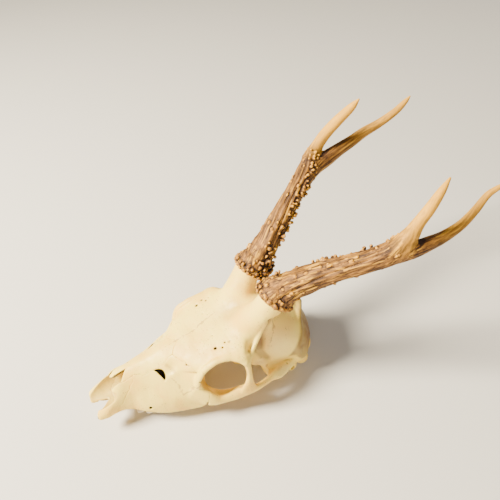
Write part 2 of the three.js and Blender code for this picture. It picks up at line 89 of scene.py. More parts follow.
snout_y = tipped(SNOUT_TIP["station"], SNOUT_TIP["height"])[0]
process_z = tipped(PROCESS_TIP["station"], PROCESS_TIP["height"])[1]
SHIFT = np.array([
    (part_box("nasal_left")[0].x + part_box("nasal_right")[1].x) / 2 / MM,
    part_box("premaxilla_right")[0].y / MM - snout_y,
    -process_z,
])


def set_down(points):
    """Points of the skull's own measures, in the frame, in metres, worn flat at the table."""
    y, z = tipped(points[:, 1], points[:, 2])
    placed = (np.stack([points[:, 0], y, z], axis=1) + SHIFT) * MM
    placed[:, 2] = np.maximum(placed[:, 2], 0)
    return placed


# ==== the skull before it is parted into bones ====
# A roe skull is thin plates of bone grown round the nose, eyes and brain. Its outline is a face and
# a head of rounded sections, with bars for the brows and cheek arches, stalks for the pedicles and
# hollows for the eyes and nose. All are distances on a grid, so that they flow into each other.

VOXEL = 0.5
FAR = 40.0

# Side and top outline of the muzzle: [station, value].
FACE = {
    "roof": [[24, 7], [28, 12], [33, 18], [39, 26], [44, 33.2], [50, 37.2], [56, 39.7], [62, 41.6],
             [72, 45.5], [82, 50.5], [93, 54.5], [104, 57], [113, 57]],
    "floor": [[24, 1], [32, 1], [45, 2.5], [55, 1.5], [70, 0], [90, 0], [104, 1], [113, 6]],
    "half_width": [[24, 12.8], [28, 14.4], [34, 15.2], [46, 14.4], [54, 16], [62, 20.5], [72, 25],
                   [82, 28.5], [90, 30.5], [98, 32.5], [106, 34], [113, 30]],
    "widest": [[24, 3.5], [32, 5], [46, 9], [60, 10], [75, 11], [90, 13], [104, 17], [113, 20]],
    "roof_power": [[24, 2.2], [40, 2.3], [55, 1.75], [75, 1.6], [92, 2], [104, 2.7], [113, 2.7]],
    "floor_power": [[24, 2.6], [50, 2.6], [70, 4], [113, 3]],
}
HEAD = {
    "roof": [[90, 51], [97, 55], [105, 58.5], [114, 62.5], [124, 67], [134, 71.5], [145, 75.5],
             [155, 77.5], [165, 76], [175, 72], [185, 66.5], [193, 60.5], [199, 53], [202.5, 45]],
    "floor": [[90, 34], [105, 31], [118, 29], [135, 27], [143, 22.5], [150, 19.5], [165, 18],
              [180, 16.5], [195, 15.5], [202.5, 22]],
    "half_width": [[90, 18], [97, 25], [104, 29.5], [112, 31], [118, 32], [125, 33.4], [130, 35.6],
                   [135, 36.5], [140.5, 31], [146, 26.4], [152, 26.4], [160, 29], [170, 31],
                   [180, 31.5], [188, 30], [195, 26], [199, 20.5], [202.5, 13]],
    "widest": [[90, 44], [104, 50], [114, 55], [125, 58], [135, 58], [142, 50], [149, 43],
               [158, 41], [170, 41], [185, 39], [202.5, 35]],
    "roof_power": [[90, 2], [104, 2.8], [120, 3.4], [135, 2.7], [150, 2.5], [170, 2.4], [188, 2.1],
                   [202.5, 2.1]],
    "floor_power": [[90, 1], [104, 1], [120, 0.95], [135, 1.05], [142, 1.6], [149, 3], [158, 2.3],
                    [172, 1.8], [185, 2], [202.5, 2.2]],
}
NOSE = {
    "roof": [[14, 10], [18, 14], [32, 24], [38, 25.4], [41, 26.6], [45.5, 31], [48, 33], [54, 35.6],
             [66, 38]],
    "floor": [[14, 2.5], [18, 3], [30, 5], [46, 8], [66, 20]],
    "half_width": [[14, 7], [18, 7.4], [26, 9.6], [36, 12], [43, 11.4], [48, 9], [54, 8.6], [66, 5]],
    "widest": [[14, 6], [18, 8.5], [32, 17.5], [46, 20], [66, 29]],
    "roof_power": [[14, 2.6], [66, 2.6]],
    "floor_power": [[14, 2.6], [66, 2.6]],
}

ORBIT = {"at": [37, 120.3, 40.8], "radii": [30, 18, 18.8]}
BEHIND_JAW = {"at": [21, 124, 18], "radii": [14, 18, 22]}  # open to below, behind the last molars

# Bars of oval section: [side, station, height, tall, thick].
BROW = [[30.5, 100.6, 36, 7, 5], [31, 101.4, 45, 6.5, 5], [31.4, 104.6, 53, 5.5, 4.8],
        [31.2, 112, 58.2, 5, 4.6], [31.4, 118.5, 60, 5, 4.4], [32.4, 125, 60.8, 5, 4.4],
        [35, 130, 60.2, 5.4, 4.6], [37.4, 134.6, 57.6, 6, 4.8]]
ORBIT_BAR = [[34.5, 134.6, 60, 10, 6], [38, 136.2, 54.4, 5.4, 4.6], [40.2, 137, 46.4, 4.6, 4.2],
             [41.8, 137, 38.8, 6, 4.2], [42.4, 136.8, 31, 12, 4.4], [42.4, 136.8, 27, 12, 4.4]]
CHEEK_ARCH = [[28, 98, 25, 19, 9], [32.5, 104, 22.5, 17, 7], [35.6, 110, 19, 13, 6.6],
              [37, 117, 17.4, 9.2, 5.6], [38.6, 125, 19.4, 9.2, 5], [41, 132, 25, 11.4, 4.8],
              [42.4, 139, 26.8, 8, 4.6], [41.4, 147, 26.8, 6.8, 4.4], [39.2, 154, 27.2, 6.8, 4.4],
              [36.6, 161.5, 27, 8, 4.8], [33.5, 170, 26.4, 9, 6], [29, 179, 27, 9, 7]]
ORBIT_FLOOR = [[29.5, 106, 27, 6, 6], [31.4, 112, 21, 6, 7], [32, 119, 16.2, 5.6, 7.4],
               [33.6, 125.5, 16.8, 5.6, 7.2], [36.4, 131, 22, 5.6, 6.4], [39.6, 134.5, 28, 5, 5]]
ARCH_ROOT = [[19, 168, 23, 24, 10], [25.5, 168, 26, 23, 9.6], [31.6, 166, 26.8, 16, 7.6],
             [36.5, 162, 27, 10, 5]]
PTERYGOID = [[9.5, 101, 16, 27, 3.2], [8.5, 109, 22, 14, 3], [7.5, 117, 28, 5, 3],
             [7.5, 134, 25, 6, 3], [8.5, 144, 19, 13, 3], [8.5, 152, 19, 9, 3]]

# Round stalks and ridges: [side, station, height, radius].
PEDICLE = [[13, 143, 62, 13.5], [15.6, 149.5, 75, 12], [18.2, 154.3, 85, 10.4],
           [19.8, 158.6, 94, 10.2], [20.8, 162.4, 104, 10.2]]
OCCIPITAL_PROCESS = [[21, 189, 28, 7], [18.5, 190.5, 18, 5], [17, 190.3, 10, 4],
                     [16.4, 189.5, 4.5, 3]]
TEMPORAL_LINE = [[26.6, 153, 82, 1.4], [26.8, 149.6, 72.5, 1.5], [28.6, 145.8, 65, 1.6],
                 [31.8, 141.8, 61, 1.7], [36, 137.6, 57.6, 2]]
NUCHAL_CREST = [[0, 195.5, 61.5, 2.6], [9, 191.5, 62.5, 2], [17.4, 187.5, 60, 1.6],
                [25.5, 185.2, 53.5, 1.6], [30, 183, 44, 2], [29.5, 184, 34, 2.6]]
EAR_TUBE = [[17, 175.5, 20, 4.6], [23, 178, 20.5, 4.4], [29.5, 180, 20.5, 4]]

# Rounded lumps: centre and radii.
BULLA = {"at": [14.5, 172, 17.5], "radii": [7.5, 12, 8.5]}
CONDYLE = {"at": [9.5, 199, 18], "radii": [8, 8.5, 10]}
MASTOID = {"at": [25, 187, 30], "radii": [6, 8, 11]}
NECK_KNOB = {"at": [22.5, 193, 17.5], "radii": [5, 5.6, 6]}  # root of the process behind the ear
JAW_JOINT = {"at": [26, 163.5, 21.5], "radii": [9, 7, 3.6]}

# Hollows, openings and small holes for vessels and nerves.
FORAMEN_MAGNUM = {"at": [0, 207, 27.5], "radii": [9, 17, 8]}
PALATE_VAULT = [[0, 30, -3, 5], [0, 48, -2.5, 5.5], [0, 66, -4, 8.5], [0, 90, -4.6, 9], [0, 112, -1, 8]]
PALATE_SLIT = [[4.4, 31, 3, 1.6], [4.6, 38, 3.4, 1.9], [3.6, 47, 4, 1.3]]
INNER_NOSTRIL = {"at": [0, 117, 14], "radii": [7, 12, 11]}
EAR_HOLE = [[24, 178, 20.5, 2], [32, 180.6, 20.6, 2.3]]
FOSSA = [[29, 158.5, 82, 5], [27.4, 155, 71, 5.6], [27.4, 151.4, 61, 6], [28.4, 150, 52, 5.6],
         [29.4, 152, 44, 4.8], [30.4, 157, 38.5, 3.6]]  # hollow for the chewing muscle
KNIT = 0.12  # how far bones reach into each other at a seam
NOTCH = {"front": 22, "depth": 15.2, "mouth": 4.4, "end": 0.7}  # between the premaxillae
NOSE_TOP = {"half": 7, "back": 63, "low": 22}  # open between the free nasal tips
WORN_EDGE = {"point": [0, 37.2, 0], "way": [-0.66, -0.75, 0]}  # broken off the left premaxilla
WORN_TIP = {"point": [11.6, 26.6, 0], "way": [0.5, -0.87, 0]}
ETHMOID_SLIT = [[9.3, 71.6, 40.6, 0.35], [11.6, 75.2, 41.2, 1.1], [13.6, 77.6, 40.6, 1.9],
                [16, 78.9, 38.4, 1.5], [18.2, 79.2, 35.4, 0.5]]
VESSEL_HOLES = [[22.5, 117, 63.3, 0.9], [24.9, 121.8, 65.3, 0.7], [22.1, 124.4, 66.6, 0.6],
                [23.4, 127.2, 67.4, 0.5], [20.3, 95.4, 50.2, 0.55], [21.6, 96.4, 50.2, 0.4],
                [27.6, 102.4, 44.9, 0.9], [31.6, 101, 41.5, 0.9], [30.6, 175.4, 24.4, 0.7],
                [31.4, 173.2, 28.4, 0.7], [19.6, 66, 8.6, 1.5], [10.5, 118, 62, 0.4]]
HOLE_LEAN = [-0.45, -0.1, -1]  # the way that the vessel holes run in
HOLE_DEPTH = 3.2
SLIT_STEPS = 6  # how often the slit beside the nasal bone is cut, each time further in
CHEEK_NICK = [[40, 105.4, 20.4, 0.7], [36.8, 106.2, 18.6, 0.8], [35.4, 106.8, 15.4, 1],
              [34.4, 107, 12, 1.2]]

# Shallow dents and low swellings: centre, radii and depth, which is negative where bone swells.
RELIEF = [
    ([0, 124, 68], [13, 17, 9], 1.5),  # dip of the forehead between the brows
    ([22, 117, 62], [4.5, 16, 7], 1.0),  # furrow of the vessels over each eye
    ([31, 120, 62], [6, 12, 6], -0.5),
    ([0, 147, 76], [6, 12, 8], -0.9),  # ridge between the pedicles
    ([15.4, 84.4, 44.2], [3.6, 4.4, 4], 1.7),  # pit in front of the tear bone
    ([18.8, 85, 39.6], [1.6, 5, 5], -0.9),
    ([25, 88, 33], [7, 8, 7], 0.8),
    ([24, 72, 20], [10, 12, 8], -0.6),  # swelling over the molar roots
    ([21, 60, 24], [9, 9, 9], 0.9),
    ([9, 204, 42], [7, 6, 8], 0.9),  # hollows for the neck muscles
    ([14, 172, 74], [11, 11, 6], -0.5),
    ([0, 166, 78], [4, 16, 5], 0.35),
]


def profile(pairs):
    """A smooth curve through [station, value] pairs, as a function of the station."""
    stations, values = np.array(pairs, float).T
    slopes = np.gradient(values, stations)

    def value_at(station):
        at = np.clip(station, stations[0], stations[-1])
        k = np.clip(np.searchsorted(stations, at) - 1, 0, len(stations) - 2)
        gap = stations[k + 1] - stations[k]
        t = (at - stations[k]) / gap
        rise = values[k + 1] - values[k]
        bend_in = slopes[k] * gap - rise
        bend_out = rise - slopes[k + 1] * gap
        return values[k] + t * rise + t * (1 - t) * ((1 - t) * bend_in + t * bend_out)

    return value_at


def blended_least(a, b, blend):
    """The lesser of two distances, rounded over where they are nearly alike."""
    if blend == 0:
        return np.minimum(a, b)
    share = np.clip(0.5 + (b - a) / (2 * blend), 0, 1)
    return b + (a - b) * share - blend * share * (1 - share)


class Field:
    """Distances to a piece's surface on a grid of small cubes, less than zero inside it."""

    def __init__(self, low, high, voxel):
        self.voxel = voxel
        self.first = np.floor(np.array(low, float) / voxel).astype(int)
        self.last = np.ceil(np.array(high, float) / voxel).astype(int)
        self.distance = np.full(self.last - self.first + 1, FAR, np.float32)

    def window(self, low, high):
        first = np.maximum(np.floor(np.array(low, float) / self.voxel).astype(int), self.first)
        last = np.minimum(np.ceil(np.array(high, float) / self.voxel).astype(int), self.last)
        part = tuple(slice(a - c, b - c + 1) for a, b, c in zip(first, last, self.first))
        axes = [np.arange(a, b + 1, dtype=np.float32) * np.float32(self.voxel)
                for a, b in zip(first, last)]
        return part, np.meshgrid(*axes, indexing="ij", sparse=True)

    def everywhere(self):
        return self.window(self.first * self.voxel, self.last * self.voxel)[1]

    def add(self, shape, low, high, blend=0):
        part, places = self.window(low, high)
        self.distance[part] = blended_least(self.distance[part], shape(*places), blend)

    def cut(self, shape, low, high, blend=0):
        part, places = self.window(low, high)
        self.distance[part] = -blended_least(-self.distance[part], shape(*places), blend)

    def shared_part(self, other):
        first = np.maximum(self.first, other.first)
        last = np.minimum(self.last, other.last)
        mine = tuple(slice(a - c, b - c + 1) for a, b, c in zip(first, last, self.first))
        theirs = tuple(slice(a - c, b - c + 1) for a, b, c in zip(first, last, other.first))
        return mine, other.distance[theirs]

    def join(self, other, blend=0):
        mine, distance = self.shared_part(other)
        self.distance[mine] = blended_least(self.distance[mine], distance, blend)

    def carve(self, other, blend=0):
        mine, distance = self.shared_part(other)
        self.distance[mine] = -blended_least(-self.distance[mine], distance, blend)

    def press(self, centre, radii, depth):
        """A smooth dent, or a swelling if depth is less than zero."""
        reach = 2.2 * np.array(radii)
        part, places = self.window(np.array(centre) - reach, np.array(centre) + reach)
        off = sum(((p - c) / r) ** 2 for p, c, r in zip(places, centre, radii))
        self.distance[part] += depth * np.exp(-off)

    def soften(self):
        """Evens out creases narrower than a cube or two."""
        for axis in range(3):
            d = np.moveaxis(self.distance, axis, 0)
            d[1:-1] = 0.25 * d[:-2] + 0.5 * d[1:-1] + 0.25 * d[2:]

    def at(self, points):
        """The distance at points between the grid's own, in proportion."""
        place = points / self.voxel - self.first
        place = np.clip(place, 0, np.array(self.distance.shape) - 1.001)
        whole = place.astype(int)
        part = place - whole
        total = np.zeros(len(points))
        for corner in range(8):
            step = np.array([corner & 1, corner >> 1 & 1, corner >> 2])
            weight = np.prod(np.where(step, part, 1 - part), axis=1)
            total += weight * self.distance[tuple((whole + step).T)]
        return total


def both_sides(half):
    """A Field of both sides of the head from one that starts at the middle."""
    low = half.first * half.voxel
    low[0] = -half.last[0] * half.voxel
    whole = Field(low, half.last * half.voxel, half.voxel)
    whole.distance = np.concatenate([half.distance[:0:-1], half.distance])
    return whole


def rounded_block(size, front_round, back_round):
    """Distance to a block of rounded sections, from its outlines against the station."""
    curve = {name: profile(pairs) for name, pairs in size.items()}
    first = size["roof"][0][0]
    last = size["roof"][-1][0]

    def distance(side, station, height):
        middle = curve["widest"](station)
        up = height - middle
        above = up > 0
        reach = np.where(above, curve["roof"](station) - middle, middle - curve["floor"](station))
        power = np.where(above, curve["roof_power"](station), curve["floor_power"](station))
        across = np.abs(side) / curve["half_width"](station)
        share = (across**power + (np.abs(up) / reach) ** power + 1e-9) ** (1 / power)
        out = np.sqrt(side**2 + up**2)
        body = (out - out / share).astype(np.float32)
        body = -blended_least(-body, station - first, front_round)
        return -blended_least(-body, last - station, back_round)

    return distance


def ellipsoid(at, radii):
    def distance(side, station, height):
        off = [p - c for p, c in zip((side, station, height), at)]
        share = np.sqrt(sum((o / r) ** 2 for o, r in zip(off, radii)) + 1e-9)
        steep = np.sqrt(sum((o / r**2) ** 2 for o, r in zip(off, radii)) + 1e-9)
        return share * (share - 1) / steep

    return distance


def beyond(point, direction):
    """Distance to all that lies past a plane."""
    def distance(side, station, height):
        off = (side - point[0], station - point[1], height - point[2])
        return -sum(o * d for o, d in zip(off, direction)) + 0 * (side + station + height)

    return distance


def reach_box(lump, margin):
    at, radii = np.array(lump["at"]), np.array(lump["radii"])
    return at - radii - margin, at + radii + margin


BAR_STEPS = 4


def smooth_path(stations, steps):
    """Rows of numbers between the given ones, on curves that pass through them all."""
    rows = np.array(stations, float)
    padded = np.vstack([2 * rows[0] - rows[1], rows, 2 * rows[-1] - rows[-2]])
    found = []
    for k in range(len(rows) - 1):
        a, b, c, d = padded[k:k + 4]
        for step in range(steps):
            t = step / steps
            found.append(b + 0.5 * t * (c - a + t * (2 * a - 5 * b + 4 * c - d + t * (3 * (b - c) + d - a))))
    found.append(rows[-1])
    return np.array(found)


def unit(vectors):
    return vectors / np.linalg.norm(vectors, axis=-1, keepdims=True)


def rod(stations, voxel, tall_direction=None, margin=5):
    """A Field of a rod along a path: round with a radius, or oval with a tall and a thick size."""
    rows = smooth_path(stations, BAR_STEPS)
    centre = rows[:, :3]
    tangent = unit(np.gradient(centre, axis=0))
    if tall_direction is None:
        tall = thick = rows[:, 3]
        tall_direction = [0.31, 0.52, 0.79]
    else:
        tall, thick = rows[:, 3] / 2, rows[:, 4] / 2
    thick_axis = unit(np.cross(tall_direction, tangent))
    tall_axis = np.cross(tangent, thick_axis)
    reach = max(tall.max(), thick.max()) + margin
    body = Field(centre.min(0) - reach, centre.max(0) + reach, voxel)
    for k in range(len(rows) - 1):
        start, along = centre[k], centre[k + 1] - centre[k]
        axes = [unit(axis[k] + axis[k + 1]) for axis in (thick_axis, tall_axis, tangent)]

        def stretch(side, station, height):
            off = [side - start[0], station - start[1], height - start[2]]
            share = np.clip(sum(o * a for o, a in zip(off, along)) / (along @ along), 0, 1)
            off = [o - share * a for o, a in zip(off, along)]
            u, v, w = (sum(o * a for o, a in zip(off, axis)) for axis in axes)
            wide = thick[k] + share * (thick[k + 1] - thick[k])
            high = tall[k] + share * (tall[k + 1] - tall[k])
            out = np.sqrt(u**2 + v**2 + w**2 + 1e-6)
            fill = np.sqrt((u / wide) ** 2 + (v / high) ** 2 + (w / np.minimum(wide, high)) ** 2 + 1e-6)
            return out - out / fill

        ends = centre[k:k + 2]
        own_reach = max(tall[k:k + 2].max(), thick[k:k + 2].max()) + margin
        body.add(stretch, ends.min(0) - own_reach, ends.max(0) + own_reach)
    return body


def hollow_notch(side, station, height):
    """The wedge-shaped gap between the premaxillae, open to the front and right through."""
    share = (station - NOTCH["front"]) / NOTCH["depth"]
    half = NOTCH["mouth"] + (NOTCH["end"] - NOTCH["mouth"]) * np.clip(share, -1, 1)
    return np.maximum(np.abs(side) - half, station - NOTCH["front"] - NOTCH["depth"]) + 0 * height


UPRIGHT = [0, 0, 1]
BACKWARD = [0, 1, 0]
half_skull = Field([0, 20, -8], [48, 208, 112], VOXEL)
half_skull.add(rounded_block(FACE, 1.5, 3), [0, 20, -8], [48, 120, 64])
half_skull.add(rounded_block(HEAD, 6, 5), [0, 84, 5], [48, 208, 84], blend=4)
for bar, tall_direction, blend in ((PTERYGOID, UPRIGHT, 1.5), (BROW, [1, 0, 0], 2)):
    half_skull.join(rod(bar, VOXEL, tall_direction), blend)
for stalk, blend in ((PEDICLE, 5), (OCCIPITAL_PROCESS, 3), (EAR_TUBE, 1.5), (NUCHAL_CREST, 3)):
    half_skull.join(rod(stalk, VOXEL), blend)
for lump, blend in ((BULLA, 1.5), (CONDYLE, 2), (MASTOID, 3), (NECK_KNOB, 1), (JAW_JOINT, 2)):
    half_skull.add(ellipsoid(**lump), *reach_box(lump, 6), blend)
for centre, radii, depth in RELIEF:
    half_skull.press(centre, radii, depth)
half_skull.carve(rod(FOSSA, VOXEL), 4)
half_skull.cut(ellipsoid(**ORBIT), *reach_box(ORBIT, 4), 1.5)
half_skull.cut(ellipsoid(**BEHIND_JAW), *reach_box(BEHIND_JAW, 4), 2)
half_skull.cut(rounded_block(NOSE, 0.5, 3), [0, 14, -4], [14, 70, 42], 1)
half_skull.cut(hollow_notch, [0, 20, -8], [8, 38, 30], 1)
half_skull.cut(ellipsoid(**FORAMEN_MAGNUM), *reach_box(FORAMEN_MAGNUM, 3), 1.5)
half_skull.cut(ellipsoid(**INNER_NOSTRIL), *reach_box(INNER_NOSTRIL, 3), 1.5)
half_skull.carve(rod(PALATE_VAULT, VOXEL), 2)
half_skull.carve(rod(PALATE_SLIT, VOXEL, margin=2), 0.6)
half_skull.join(rod(CHEEK_ARCH, VOXEL, UPRIGHT), 2)
half_skull.join(rod(ORBIT_FLOOR, VOXEL, UPRIGHT), 1.5)
half_skull.join(rod(ARCH_ROOT, VOXEL, BACKWARD), 5)
half_skull.join(rod(ORBIT_BAR, VOXEL, BACKWARD), 2)
half_skull.join(rod(TEMPORAL_LINE, VOXEL), 2)
half_skull.carve(rod(EAR_HOLE, VOXEL, margin=2), 0.5)
skin = both_sides(half_skull)  # the bone before its small holes
for k in range(SLIT_STEPS):
    slit = [[s - 1.2 * k, t, h - 1.7 * k, r] for s, t, h, r in ETHMOID_SLIT]
    half_skull.carve(rod(slit, VOXEL, margin=1.5), 0.3)
for side, station, height, radius in VESSEL_HOLES:
    inward = unit(np.array(HOLE_LEAN)) * HOLE_DEPTH
    outer = np.array([side, station, height]) - inward
    inner = outer + 2 * inward
    half_skull.carve(rod([[*outer, radius], [*inner, radius]], VOXEL, margin=1), 0.3)
half_skull.carve(rod(CHEEK_NICK, VOXEL, margin=1.5), 0.3)
half_skull.soften()
whole_skull = both_sides(half_skull)


def within(distance, *regions):
    """What of a bone lies in all the regions, and a hair's breadth past their edges."""
    for region in regions:
        distance = np.maximum(distance, region - KNIT)
    return distance


def waves(places, length, seed, count=7):
    """A smooth uneven pattern from -1 to 1 made of waves of about one length in many directions."""
    rng = np.random.default_rng(seed)
    total = 0
    for _ in range(count):
        turn = unit(rng.normal(size=3)) * 2 * math.pi / (length * rng.uniform(0.7, 1.4))
        phase = rng.uniform(0, 2 * math.pi)
        total = total + np.sin(sum(p * t for p, t in zip(places, turn)) + phase)
    return total / (count * 0.55)


def surface(field):
    """The points, in the skull's measures, and the four-sided faces of a Field's surface."""
    band = 3 * field.voxel
    grid = openvdb.FloatGrid(band)
    grid.copyFromArray(np.clip(field.distance, -band, band).astype(np.float32))
    points, triangles, quads = grid.convertToPolygons(0.0, 0.0)
    return (points + field.first) * field.voxel, quads


def mirror_of(points, quads):
    return points * [-1, 1, 1], quads[:, ::-1]


def new_piece(name, points, quads, material):
    """A smooth-shaded piece from points in the skull's measures."""
    mesh = bpy.data.meshes.new(name)
    mesh.vertices.add(len(points))
    mesh.vertices.foreach_set("co", set_down(points).astype(np.float32).ravel())
    mesh.loops.add(quads.size)
    mesh.loops.foreach_set("vertex_index", quads.astype(np.int32).ravel())
    mesh.polygons.add(len(quads))
    mesh.polygons.foreach_set("loop_start", np.arange(0, quads.size, 4, dtype=np.int32))
    mesh.update()
    mesh.validate()
    mesh.shade_smooth()
    mesh.materials.append(material)
    piece = bpy.data.objects.new(name, mesh)
    bpy.context.scene.collection.objects.link(piece)
    return piece


def write_value(piece, name, values):
    """Keeps one number for each point of the piece, for its material."""
    attribute = piece.data.attributes.new(name, "FLOAT", "POINT")
    attribute.data.foreach_set("value", np.asarray(values, np.float32))


def outward(points, quads):
    """The direction out of the surface at each point."""
    across = points[quads[:, 2]] - points[quads[:, 0]]
    over = points[quads[:, 3]] - points[quads[:, 1]]
    face = np.cross(across, over)
    total = np.stack([
        sum(np.bincount(quads[:, c], face[:, axis], len(points)) for c in range(4))
        for axis in range(3)
    ], axis=1)
    return total / (np.linalg.norm(total, axis=1, keepdims=True) + 1e-9)


def line_distance(points, line, view):
    """How far points are from a line drawn on the bone, seen from the top or from the side."""
    axes = {"top": [0, 1], "side": [1, 2]}[view]
    flat = points[:, axes]
    least = np.full(len(points), FAR)
    for a, b in zip(np.array(line[:-1], float), np.array(line[1:], float)):
        along = b - a
        share = np.clip((flat - a) @ along / (along @ along), 0, 1)
        off = flat - a - share[:, None] * along
        least = np.minimum(least, np.hypot(off[:, 0], off[:, 1]))
    return least


# Seams between bones that have grown together: the way they are seen, whether both sides have
# them, and their points.
GROWN_SEAMS = [
    ("top", False, [[0, 92], [-0.5, 99], [-0.6, 105], [-2.6, 111], [-5, 118], [-6.6, 126]]),
    ("top", True, [[0, 161], [7, 164], [15, 161], [22, 163], [28, 158]]),
    ("side", True, [[103, 43], [99, 36], [95, 30], [90, 26], [88, 33], [84, 38]]),
]
SEAM_REACH = 6  # beyond this, nothing depends on how far a seam is

# Painted shadow at the foot of the temporal line, as station and height.
RIDGE_SHADOW = {"line": [[157.5, 84], [154, 74], [149.8, 65], [146.4, 59], [146, 54], [148, 47],
                       [153, 39]], "half_width": 2.2, "least_side": 15, "least_station": 139}

# The brown back of the head, a stain darkened with painted shade: its front edge leans back up to a height,
# its lower edge drops.
NAPE = {"front": 169, "lean": 0.55, "lean_from": 30, "lean_over": 40, "fade_back": 2.5,
        "foot": 35, "drop": 1.3, "drop_from": 181, "drop_over": 7, "fade_up": 3}

# Places painted pale as light, with no painted shade in their hollows: centre, radii and strength.
LIT_PLACES = [
    ([22, 167, 50], [16, 21, 27], 0.8),  # the vault
    ([26, 153, 32], [6, 8, 9], 0.9),  # the wall behind the orbit
    ([36, 168, 30], [9, 12, 6], 0.7),  # the shelf behind the cheek arch
]
WARM_FOREHEAD = ([0, 136, 72], [11, 24, 12])

# Brown patches of painted shade in creases and hollows: two ends, radius and strength.
SHADE_PATCHES = [
    ([22.5, 151.5, 63], [21.5, 158, 79], 5, 0.8),  # behind the temporal line
    ([22.5, 151.5, 64], [23, 152, 49], 5.4, 0.95),
    ([23.5, 152, 48], [26, 158, 38], 4.2, 0.8),
    ([33, 138.4, 62], [38, 137, 54], 2.4, 0.85),  # on the bar behind the orbit
    ([36.6, 134.8, 59], [40.2, 134.9, 46], 1.9, 0.75),
    ([41, 134.5, 38], [42, 137.5, 30], 1.6, 0.5),
    ([30, 109, 40], [27, 108, 28], 7, 0.45),  # inside the orbit
    ([33, 113, 20], [36, 129, 21], 4, 0.3),
    ([12, 82, 45], [18, 87, 42], 2, 0.35),
]

UNEVEN = {"depth": 0.12, "long": 11, "short": 3.4}  # how far bone wavers, and in what lengths
# Painted shade gathers where little lies open near a point; these say how far out that is looked for.
CLOSE_REACH = 2.5  # how far out a hollow is looked for, close by and wide
WIDE_REACH = 8
# Painted shade inside small holes begins below this depth.
HOLE_EDGE = {"from": 0.36, "over": 1.2}  # depth under the skin at which a small hole turns dark
NOSE_BLOCK = rounded_block(NOSE, 0.5, 3)
# The warm colour on the inner wall of the nose opening is painted shade.
NOSE_LINING = {"over": 1.5, "outside": 0.9}  # how the warm colour fades at the nose's edge


def shade_patch_share(points, a, b, radius):
    """1 along the middle of a patch of painted shade, fading to 0 at its edge, on both sides."""
    start, along = np.array(a, float), np.array(b, float) - a
    off = points * np.sign(points[:, :1] + 1e-9) ** [1, 0, 0] - start
    share = np.clip(off @ along / (along @ along), 0, 1)
    far = np.linalg.norm(off - share[:, None] * along, axis=1)
    return np.clip(1.5 * (1 - far / radius), 0, 1)


def ellipse_share(points, centre, radii):
    """1 at the centre of a rounded zone of both sides, fading to 0 at its edge."""
    off = (np.stack([np.abs(points[:, 0]), points[:, 1], points[:, 2]], axis=1) - centre) / radii
    return np.clip(1.6 * (1 - np.sqrt((off**2).sum(axis=1))), 0, 1)


def nape_share(station, height):
    """1 on the rough back of the head, where the neck muscles held, stained brown and painted darker as
    shade.
    """
    front = NAPE["front"] + NAPE["lean"] * np.clip(height - NAPE["lean_from"], 0, NAPE["lean_over"])
    foot = NAPE["foot"] - NAPE["drop"] * np.clip(station - NAPE["drop_from"], 0, NAPE["drop_over"])
    behind = np.clip((station - front) / NAPE["fade_back"], 0, 1)
    return behind * np.clip((height - foot) / NAPE["fade_up"], 0, 1)


def ridge_shadow_share(points):
    """1 along the foot of the temporal line, where its shadow is painted."""
    share = np.clip(1 - line_distance(np.abs(points), RIDGE_SHADOW["line"], "side")
                    / RIDGE_SHADOW["half_width"], 0, 1)
    far_back = points[:, 1] > RIDGE_SHADOW["least_station"]
    return share * far_back * (np.abs(points[:, 0]) > RIDGE_SHADOW["least_side"])


def grown_seam_distance(points, out, wander):
    """How far points are from the nearest grown seam, which wanders a little from its line."""
    least = np.full(len(points), FAR)
    for view, both, line in GROWN_SEAMS:
        moved = points + wander[:, None]
        if both:
            moved[:, 0] = np.abs(moved[:, 0])
        facing = out[:, 2] if view == "top" else np.abs(out[:, 0])
        distance = line_distance(moved, line, view) + np.where(facing > 0.25, 0, FAR)
        least = np.minimum(least, distance)
    return least


def bone_piece(name, field, material, mirrored=False):
    """A bone from its Field, with what its material reads at each point."""
    points, quads = surface(field)
    if mirrored:
        points, quads = mirror_of(points, quads)
    out = outward(points, quads)
    waver = waves(points.T, UNEVEN["long"], 3) + 0.3 * waves(points.T, UNEVEN["short"], 5)
    wander = 0.55 * waves(points.T, 2.6, 11) + 0.25 * waves(points.T, 1.3, 12)
    points = points + out * (UNEVEN["depth"] * waver)[:, None]
    piece = new_piece(name, points, quads, material)
    # Painted shade: how closed in each point is, close by and wide.
    close = np.clip(whole_skull.at(points + CLOSE_REACH * out) / CLOSE_REACH, 0, 1)
    wide = np.clip(whole_skull.at(points + WIDE_REACH * out) / WIDE_REACH, 0, 1)
    # Painted shade inside small holes: how deep each point lies under the skin.
    depth = -skin.at(points)
    # Painted shade on the inner wall of the nose opening.
    lining = -NOSE_BLOCK(*points.T)
    # The nape: a brown stain, deepened with painted shade.
    nape = nape_share(points[:, 1], points[:, 2])
    # Painted light: the places that should look lit.
    lit_share = np.zeros(len(points))
    for centre, radii, share in LIT_PLACES:
        lit_share = np.maximum(lit_share, share * ellipse_share(points, centre, radii))
    warm = nape + np.clip((lining + NOSE_LINING["outside"]) / NOSE_LINING["over"], 0, 1)
    # The forehead's warm tone, and painted shadow at the foot of the temporal line.
    warm += 0.3 * ellipse_share(points, *WARM_FOREHEAD) + 0.6 * ridge_shadow_share(points)
    # Patches of painted shade in creases and hollows.
    warm += np.max([share * shade_patch_share(points, *stain_and_shade) for *stain_and_shade, share in SHADE_PATCHES], axis=0)
    write_value(piece, "hollow", (1 - 0.5 * (close + wide)) * (1 - lit_share))
    write_value(piece, "cavity", np.clip((depth - HOLE_EDGE["from"]) / HOLE_EDGE["over"], 0, 1))
    write_value(piece, "seam", np.clip(grown_seam_distance(points, out, wander), 0, SEAM_REACH))
    write_value(piece, "pale", lit_share * (1 - nape))
    write_value(piece, "warm", np.clip(warm, 0, 1))
    return piece


